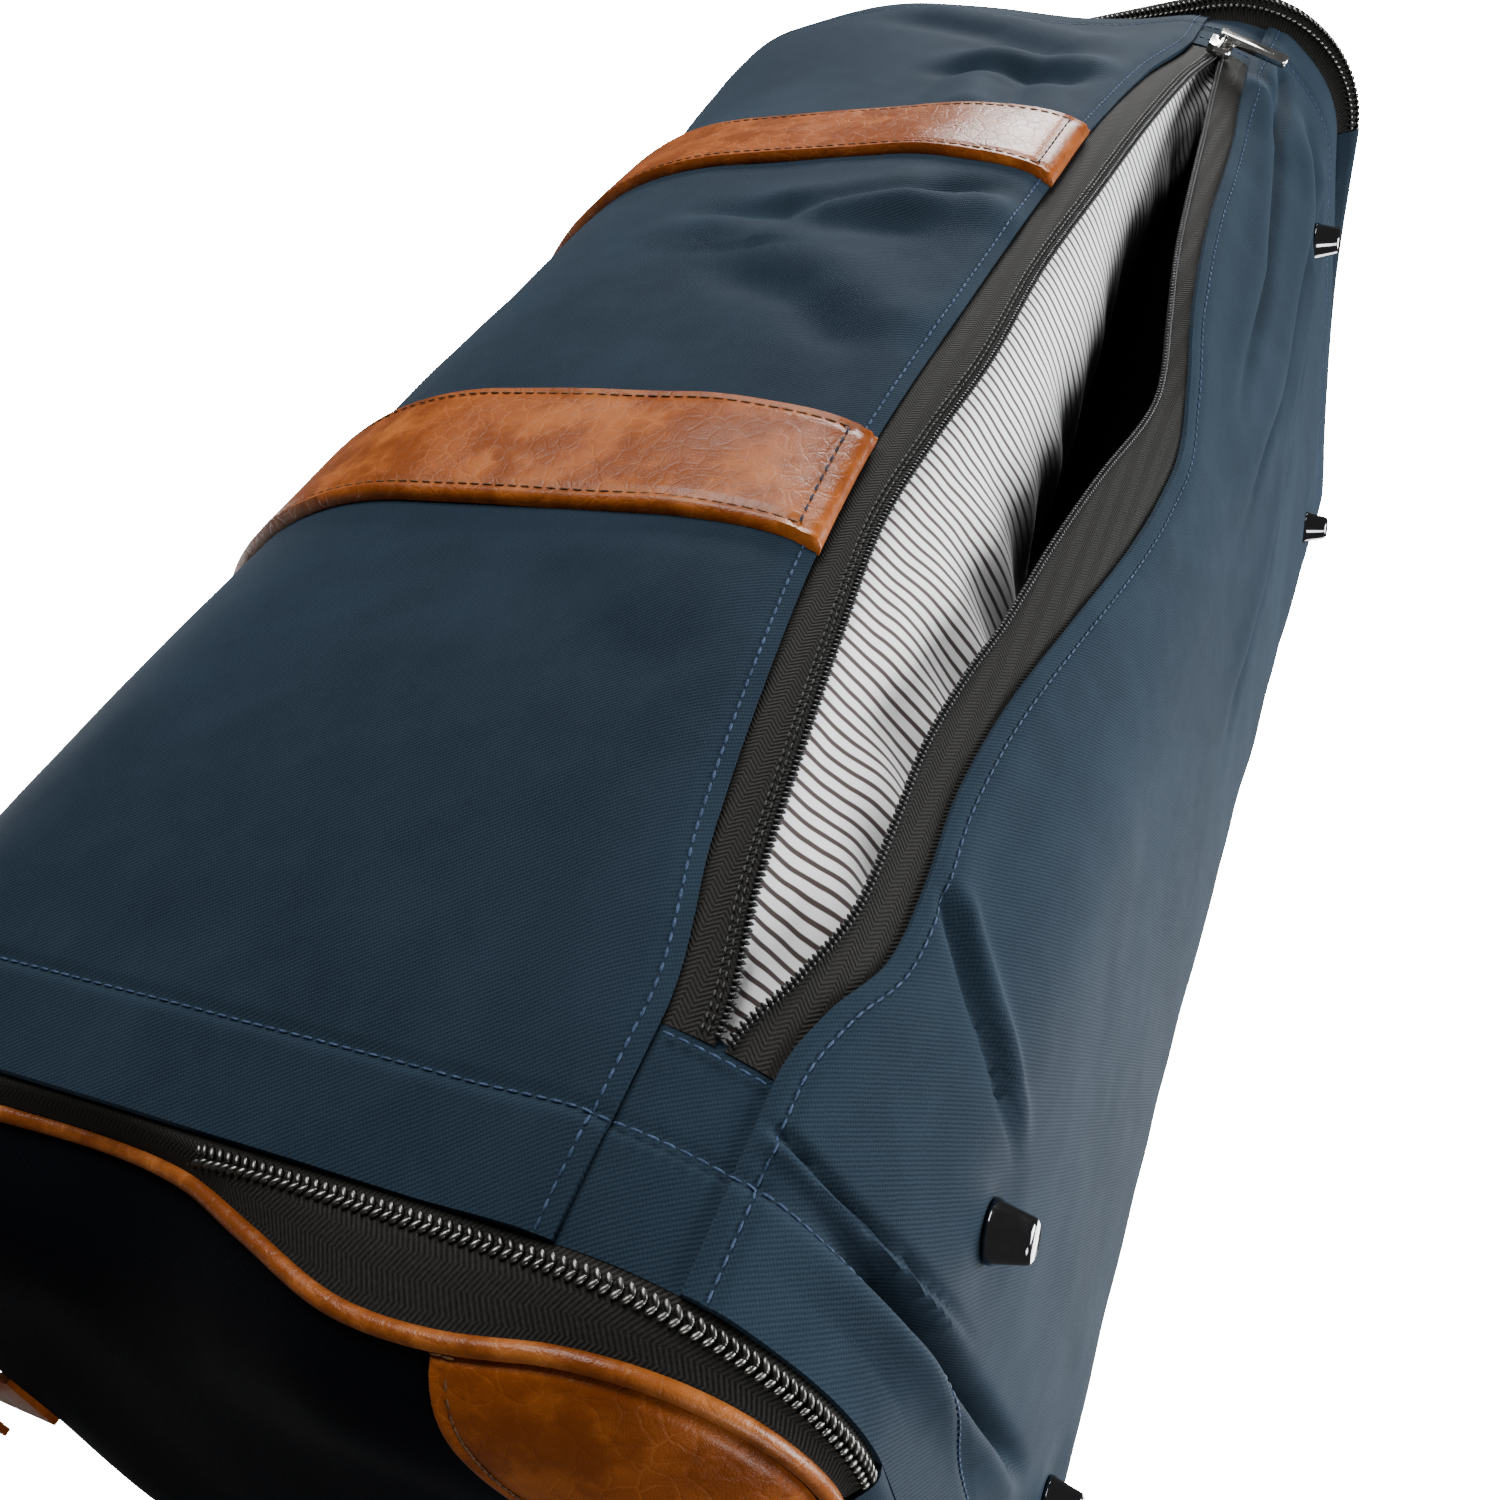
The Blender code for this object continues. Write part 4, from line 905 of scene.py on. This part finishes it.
frontReach = curveThrough(
    (0.000, 0.0085), (0.083, 0.0085), (0.102, 0.0093), (0.125, 0.0112), (0.150, 0.0148), (0.172, 0.0188),
    (0.192, 0.0186), (0.215, 0.0122), (0.236, 0.0060), (0.262, 0.0032), (0.292, 0.0052), (0.345, 0.0095),
    (0.420, 0.0120), (0.486, 0.0130),
)
plainReach = curveThrough((0.0, 0.0085), (0.10, 0.0100), (0.20, 0.0150), (0.32, 0.0120), (0.486, 0.0130))
endWhole = halfGirth(halfLength)
endMiddle = Vector((0, 0, bag["floor"] + bag["height"] / 2))
endBand = {"chain": 0.0033, "drop": 0.0050, "piping": 0.0017, "bulge": 0.0245, "edge": 8}


def signed(girth):
    return (girth + endWhole) % (2 * endWhole) - endWhole


def reach(side, girth):
    girth = signed(girth)
    return (frontReach if side < 0 and girth > 0 else plainReach)(abs(girth))


def hump(girth):
    return math.exp(-((girth - 0.125) / 0.085) ** 2)


def drop(side, girth):
    girth = signed(girth)
    if side > 0:
        return endBand["drop"] - 0.0040 * hump(girth)
    return endBand["drop"] + 0.0045 * math.exp(-((girth - 0.262) / 0.030) ** 2)


def rimPoint(side, girth, inset=0.0):
    return skin(side * (halfLength + reach(side, girth)), girth, -drop(side, girth) - inset)


def bandSurface(side):
    def surface(share, girth, lift=0.0):
        wide = reach(side, girth)
        sink = -0.0012 - (drop(side, girth) - 0.0012) * smooth(0.1, 1.05, share)
        sink += (0.0010 if side < 0 else 0.0010 + 0.0095 * hump(signed(girth))) * math.sin(math.pi * clamp(share))
        return skin(side * (halfLength + wide * share), girth, sink + lift)
    return surface


def panelPoint(side, girth, share, lift=0.0):
    rim = rimPoint(side, girth, endBand["piping"] * 0.4)
    flat = endMiddle + (Vector((0, rim.y, rim.z)) - endMiddle) * share
    swell = reach(side, girth) * share ** 4 + endBand["bulge"] * (1 - share ** endBand["edge"])
    swell += 0.0020 * noise.noise((flat.y * 16, flat.z * 16, side * 3.0)) * (1 - share ** 6)
    return Vector((side * (halfLength + swell + lift), flat.y, flat.z))


def makePatch(side, facing, word, face):
    size = {"radius": 0.0545, "thick": 0.0014, "stitch": 0.0034}
    corner = Vector((0, -facing * (bag["endHalf"] - 0.007), bag["floor"] + 0.007))

    def arcShare(girth, radius):
        low, high = 0.0, 1.0
        for _ in range(24):
            share = (low + high) / 2
            point = panelPoint(side, girth, share)
            if (Vector((0, point.y, point.z)) - corner).length > radius:
                low = share
            else:
                high = share
        return high

    inside = [g for g in spread(0.05, 0.20, 480) if arcShare(facing * g, size["radius"]) < 0.999]
    first, last = inside[0], inside[-1]

    def place(along, across, depth):
        girth = facing * (first + (last - first) * along)
        inner = arcShare(girth, size["radius"])
        share = 0.992 + (inner - 0.992) * across
        edge = (share - inner) * 0.13
        lift = 0.0004 + size["thick"] * math.sqrt(clamp(1 - (1 - clamp(edge / 0.0012)) ** 2))
        lift += valley(edge - size["stitch"], 0.0005, 0.0007)
        if depth:
            lift = -0.0002
        point = panelPoint(side, girth, share, lift)
        return point, (point.y, point.z)

    gridPiece(f"corner_leather_{face}_{word}", "tanLeather", 60, 34, place, rim=1,
              nodes=(f"corner_patch_{face}_{word}",), flip=side * facing > 0)
    seats = []
    count = 46
    for i in range(count):
        girth = facing * (first + (last - first) * (i + 0.5) / count)
        share = arcShare(girth, size["radius"] - size["stitch"])
        here = panelPoint(side, girth, share, 0.0016)
        next_ = panelPoint(side, girth + 0.002 * facing, arcShare(girth + 0.002 * facing, size["radius"] - size["stitch"]), 0.0016)
        forward = (next_ - here).normalized()
        across = Vector((side, 0, 0)).cross(forward).normalized()
        turn = Matrix((forward, across, forward.cross(across))).transposed().to_4x4()
        seats.append(Matrix.Translation(here) @ turn)
    scatter(f"corner_stitches_{face}_{word}", "tanThread", seats, bead(0.0026, 0.0007, 0.0006))


def makeEnd(side, word):
    surface = bandSurface(side)
    rounds = spread(0.0, 2 * endWhole, int(420 * fine))
    zipStart, zipEnd = bag["sill"], 2 * endWhole - bag["sill"]

    def bandPlace(first, last, low, high, sill=0.0):
        def place(along, across, depth):
            girth = first + (last - first) * along
            share = low + (high - low) * across
            lift = sill - 0.0007 * depth
            return surface(share, girth, lift), (girth, share * 0.012)
        return place

    turned = side < 0
    tape = gridPiece(f"end_tape_{word}", "zipTape", int(380 * fine), 10, bandPlace(zipStart, zipEnd, -0.2, 0.97), rim=1,
              nodes=(f"end_inner_tape_{word}", f"end_outer_tape_{word}"), flip=turned)
    zipEnd - zipStart
    sill = gridPiece(f"end_sill_cloth_{word}", "navyTwill", 60, 8, bandPlace(-zipStart, zipStart, -0.05, 0.97, 0.0012),
              rim=1, nodes=(f"end_sill_{word}",), flip=turned)
    2 * zipStart
    teeth = []
    count = round((zipEnd - zipStart) / 0.00200)
    for row, lean in ((-1, 38), (1, -38)):
        for i in range(count):
            girth = zipStart + (zipEnd - zipStart) * (i + 0.5) / count
            wide = reach(side, girth)
            centre = min(endBand["chain"], wide * 0.42)
            tuck = 0.0004 - 0.0045 * smooth(0.0078, 0.0048, wide)
            spot = seat((centre + row * 0.00085) / wide, girth, tuck, (0.0, 1.0), surface)
            turn = Matrix.Rotation(math.radians((90 + lean) * (1 if turned else -1)), 4, "Z")
            teeth.append(spot @ turn)
    scatter(f"end_teeth_{word}", "coilMetal", teeth, bead(0.0026, 0.00125, 0.0014, 8, 6),
            nodes=(f"end_chain_{word}",))
    frames = []
    for girth in rounds[:-1]:
        here = rimPoint(side, girth)
        ahead = (rimPoint(side, girth + 0.0005) - here).normalized()
        out = Vector((side, 0, 0))
        across = out.cross(ahead).normalized()
        frames.append(Matrix.Translation(here) @ Matrix((ahead, across, ahead.cross(across))).transposed().to_4x4())
    tubePiece(f"end_piping_leather_{word}", "rolledLeather", frames, endBand["piping"],
              nodes=(f"end_piping_{word}",))

    def panelPlace(along, across, depth):
        girth = 2 * endWhole * along
        share = 0.0005 + 0.9995 * across
        point = panelPoint(side, girth, share)
        return point, (point.y, point.z)

    # The end panel wears the near-black twill whose darkness is painted shade.
    cap = gridPiece(f"end_panel_cloth_{word}", "endShadeTwill", int(220 * fine), 60, panelPlace, rim=0,
                   nodes=(f"end_panel_{word}",), weld=True, flip=turned)
    for face, facing in (("front", 1), ("back", -1)):
        makePatch(side, facing, word, face)


for side, word in ((-1, "left"), (1, "right")):
    makeEnd(side, word)
print("ends made")

# Top opening

topFront = clothPanel("top_tape_front_cloth", "zipTape", spread(-halfLength, halfLength, 120), lambda x: topLine(x) - 0.002,
           lambda x: halfGirth(x) - 0.0016, 6, lift=lambda x, a: -0.0012, thick=0.0006, turn=0.001,
           surface=skin, nodes=("top_tape_front",))
topBack = clothPanel("top_tape_back_cloth", "zipTape", spread(-halfLength, halfLength, 120),
           lambda x: 0.0016 - halfGirth(x), lambda x: 0.002 - topLine(x), 6, lift=lambda x, a: -0.0012,
           thick=0.0006, turn=0.001, surface=skin, nodes=("top_tape_back",))
teeth = []
for row, lean in ((-1, 38), (1, -38)):
    count = round(2 * halfLength / 0.00215)
    for i in range(count):
        x = -halfLength + 2 * halfLength * (i + 0.5) / count
        spot = seat(x, halfGirth(x) + row * 0.00115, -0.0004)
        teeth.append(spot @ Matrix.Rotation(math.radians(90 + lean), 4, "Z"))
scatter("top_teeth", "coilMetal", teeth, bead(0.0027, 0.00125, 0.0013, 6, 5), nodes=("top_chain",))

# Hardware

foot = {"base": 0.0066, "shoulder": 0.0061, "tip": 0.0045, "steps": 48}


def makeFoot(node, x, y):
    profile = [(0.0003, 0.0094), (foot["base"] - 0.0004, 0.0094), (foot["base"], 0.0090), (foot["base"], 0.0083),
               (foot["shoulder"], 0.0074), (foot["tip"] + 0.0002, 0.0011), (foot["tip"], 0.0007),
               (foot["tip"] - 0.0004, 0.0003), (foot["tip"] - 0.0010, 0.0001), (0.0003, 0.0001)]
    bm = bmesh.new()
    line = [bm.verts.new((radius, 0, height)) for radius, height in profile]
    for a, b in zip(line, line[1:]):
        bm.edges.new((a, b))
    bmesh.ops.spin(bm, geom=bm.verts[:] + bm.edges[:], cent=(0, 0, 0), axis=(0, 0, 1), angle=2 * math.pi,
                   steps=foot["steps"], use_merge=True)
    bmesh.ops.remove_doubles(bm, verts=bm.verts, dist=0.00001)
    holes = [e for e in bm.edges if e.is_boundary]
    bmesh.ops.holes_fill(bm, edges=holes, sides=0)
    bmesh.ops.recalc_face_normals(bm, faces=bm.faces)
    bmesh.ops.translate(bm, vec=(x, y, 0), verts=bm.verts)
    finishMesh(node + "_turned", bm, "darkChrome", smoothAngle=50, nodes=(node,))


for face in ("front", "back"):
    for word in ("left", "right"):
        node = f"foot_{face}_{word}"
        low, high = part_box(node)
        makeFoot(node, (low.x + high.x) / 2, (low.y + high.y) / 2)
for name, finish, levels in (
    ("d_ring_left", "nickel", 2), ("d_ring_right", "nickel", 2), ("hanger_hook", "nickel", 1),
    ("anchor_tab_left", "tanLeather", 0), ("anchor_tab_right", "tanLeather", 0),
    ("garment_sleeve", "greyLining", 1), ("base_board", "board", 0),
    ("pocket_slider", "nickel", 0), ("pocket_pull", "nickel", 0), ("top_slider", "nickel", 0),
    ("top_pull", "nickel", 0), ("end_slider_left", "nickel", 0), ("end_slider_right", "nickel", 0),
    ("end_pull_left", "nickel", 0), ("end_pull_right", "nickel", 0),
    ("foot_washer_front_left", "nickel", 0), ("foot_washer_front_right", "nickel", 0),
    ("foot_washer_back_left", "nickel", 0), ("foot_washer_back_right", "nickel", 0),
):
    refined(name, finish, levels)
print("hardware made")

# Handles: a rolled loop on each side, with a neck that widens on to the strap
handle = {"pivotY": 0.08243, "pivotZ": 0.2865, "rise": 0.078, "corner": 0.045, "radius": 0.0070, "gap": 0.0030,
          "straight": 0.7, "strapX": 0.097}


def handleSpot(facing, x, share):
    reachIn = handle["pivotY"] - handle["radius"] - handle["gap"] / 2
    bow = 0.5 * (share + math.sin(math.pi / 2 * share))
    return Vector((x, -facing * (handle["pivotY"] - reachIn * share), handle["pivotZ"] + handle["rise"] * bow))


def handleLine(facing):
    half = [(-handle["strapX"], handle["straight"] * i / 14) for i in range(14)]
    for i in range(19):
        turn = math.pi / 2 * i / 18
        half.append((-handle["strapX"] + handle["corner"] * (1 - math.cos(turn)),
                     handle["straight"] + (1 - handle["straight"]) * math.sin(turn)))
    middle = [(half[-1][0] * (1 - 2 * i / 24), 1.0) for i in range(1, 24)]
    return [handleSpot(facing, x, share) for x, share in half + middle + [(-x, share) for x, share in half[::-1]]]


def framesAlong(points, out):
    frames = []
    for i, point in enumerate(points):
        ahead = (points[min(i + 1, len(points) - 1)] - points[max(i - 1, 0)]).normalized()
        across = out.cross(ahead).normalized()
        frames.append(Matrix.Translation(point) @ Matrix((ahead, across, ahead.cross(across))).transposed().to_4x4())
    return frames


def makeNeck(facing, face, side, word):
    x = side * handle["strapX"]
    strapTop = facing * (halfGirth(handle["strapX"]) - strap["end"])
    path = [skin(x, strapTop - facing * 0.016, 0.0034), skin(x, strapTop, 0.0050),
            handleSpot(facing, x, 0.0), handleSpot(facing, x, 0.12), handleSpot(facing, x, 0.26)]
    widths = curveThrough((0, 0.0200), (0.25, 0.0195), (0.55, 0.0100), (0.8, 0.0080), (1, 0.0073))
    thicks = curveThrough((0, 0.0016), (0.25, 0.0034), (0.55, 0.0068), (0.8, 0.0078), (1, 0.0073))

    def along(t):
        i = min(int(t * 4), 3)
        return path[i].lerp(path[i + 1], t * 4 - i)

    points = [along(i / 28) for i in range(29)]
    for _ in range(3):
        points = [points[0]] + [(a + b * 2 + c) / 4 for a, b, c in zip(points, points[1:], points[2:])] + [points[-1]]
    frames = framesAlong(points, Vector((0, -facing, 0.4)))

    def place(share, turn, depth):
        i = round(share * 28)
        if depth:
            return frames[i].translation, (share * 0.06, turn * 0.04)
        angle = 2 * math.pi * turn
        wide, thick = widths(share), thicks(share)
        side_ = math.copysign(abs(math.cos(angle)) ** 0.8, math.cos(angle)) * wide
        up_ = math.copysign(abs(math.sin(angle)) ** 0.8, math.sin(angle)) * thick
        return frames[i] @ Vector((0, side_, up_)), (share * 0.06, turn * 0.04)

    neck = gridPiece(f"{face}_handle_neck_{word}", "tanLeather", 28, 24, place, rim=1, body=None, weld=True)
    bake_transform(neck)


for facing, face in ((1, "front"), (-1, "back")):
    frames = framesAlong(handleLine(facing), Vector((0, -facing, 0.4)))
    tubePiece(f"{face}_handle_roll", "rolledLeather", frames, handle["radius"], closed=False,
              body=f"{face}_handle", nodes=(f"{face}_handle",), around=20)
    for side, word in ((-1, "left"), (1, "right")):
        makeNeck(facing, face, side, word)
print("handles made")

# Stage, light, camera

studio = {"floorSize": 6.0, "backdrop": 40.0, "ambient": 0.10}
bm = bmesh.new()
bmesh.ops.create_grid(bm, x_segments=1, y_segments=1, size=studio["floorSize"])
floorMesh = bpy.data.meshes.new("floor")
bm.to_mesh(floorMesh)
bm.free()
floor = bpy.data.objects.new("floor", floorMesh)
bpy.context.scene.collection.objects.link(floor)
f = Finish("pale floor", 0.7)
f.shader.inputs["Base Color"].default_value = colour(0.83, 0.83, 0.82)
f.shader.inputs["Emission Color"].default_value = colour(1.0, 1.0, 1.0)
f.shader.inputs["Emission Strength"].default_value = 0.35
clear = f.tree.nodes.new("ShaderNodeBsdfTransparent")
chosen = f.tree.nodes.new("ShaderNodeMixShader")
f.tree.links.new(f.tree.nodes.new("ShaderNodeNewGeometry").outputs["Backfacing"], chosen.inputs[0])
f.tree.links.new(f.shader.outputs[0], chosen.inputs[1])
f.tree.links.new(clear.outputs[0], chosen.inputs[2])
f.tree.links.new(chosen.outputs[0], f.tree.nodes["Material Output"].inputs[0])
floorMesh.materials.append(f.material)
floor.visible_shadow = False
floor.visible_diffuse = False
floor.visible_glossy = False

world = bpy.data.worlds.new("studio")
bpy.context.scene.world = world
world.use_nodes = True
worldNodes = world.node_tree
ground = worldNodes.nodes["Background"]
ground.inputs["Color"].default_value = (1, 1, 1, 1)
path = worldNodes.nodes.new("ShaderNodeLightPath")
level = worldNodes.nodes.new("ShaderNodeMix")
level.inputs[2].default_value = studio["ambient"]
level.inputs[3].default_value = studio["backdrop"]
worldNodes.links.new(path.outputs["Is Camera Ray"], level.inputs[0])
worldNodes.links.new(level.outputs[0], ground.inputs["Strength"])


def addLight(name, place, target, size, power, tint=(1, 1, 1)):
    data = bpy.data.lights.new(name, "AREA")
    data.shape = "RECTANGLE"
    data.size, data.size_y = size
    data.energy = power
    data.color = tint
    lamp = bpy.data.objects.new(name, data)
    bpy.context.scene.collection.objects.link(lamp)
    lamp.location = place
    lamp.rotation_euler = (Vector(target) - Vector(place)).to_track_quat("-Z", "Y").to_euler()


addLight("key softbox", (0.35, -1.7, 0.35), (0, -0.1, 0.12), (1.1, 1.1), 54)
addLight("far softbox", (1.5, -0.75, 0.10), (0.1, -0.1, 0.1), (0.42, 0.42), 30)
addLight("low softbox", (0.45, 0.30, -1.3), (0, 0, 0.05), (0.9, 0.9), 66, (0.95, 0.98, 1.0))
addLight("rear low card", (0.62, 1.45, -0.48), (0, 0, 0.0), (1.0, 0.6), 18)
addLight("near low softbox", (-1.0, 0.1, -1.0), (-0.2, 0, 0.05), (0.5, 0.5), 11)
addLight("top light", (0.2, 0.6, 1.9), (0, 0, 0.2), (1.6, 1.6), 40)

view = {
    "place": (-0.3538, -0.3318, -0.0619),
    "right": (0.3886, 0.2119, -0.8967),
    "down": (-0.669, 0.7341, -0.1164),
    "lens": 35.69,
}
cameraData = bpy.data.cameras.new("camera")
cameraData.lens = view["lens"]
cameraData.sensor_width = 36
cameraData.clip_start = 0.01
camera = bpy.data.objects.new("camera", cameraData)
bpy.context.scene.collection.objects.link(camera)
right = Vector(view["right"]).normalized()
up = -Vector(view["down"])
up = (up - right * up.dot(right)).normalized()
camera.matrix_world = (
    Matrix.Translation(view["place"]) @ Matrix((right, up, right.cross(up))).transposed().to_4x4()
)
bpy.context.scene.camera = camera
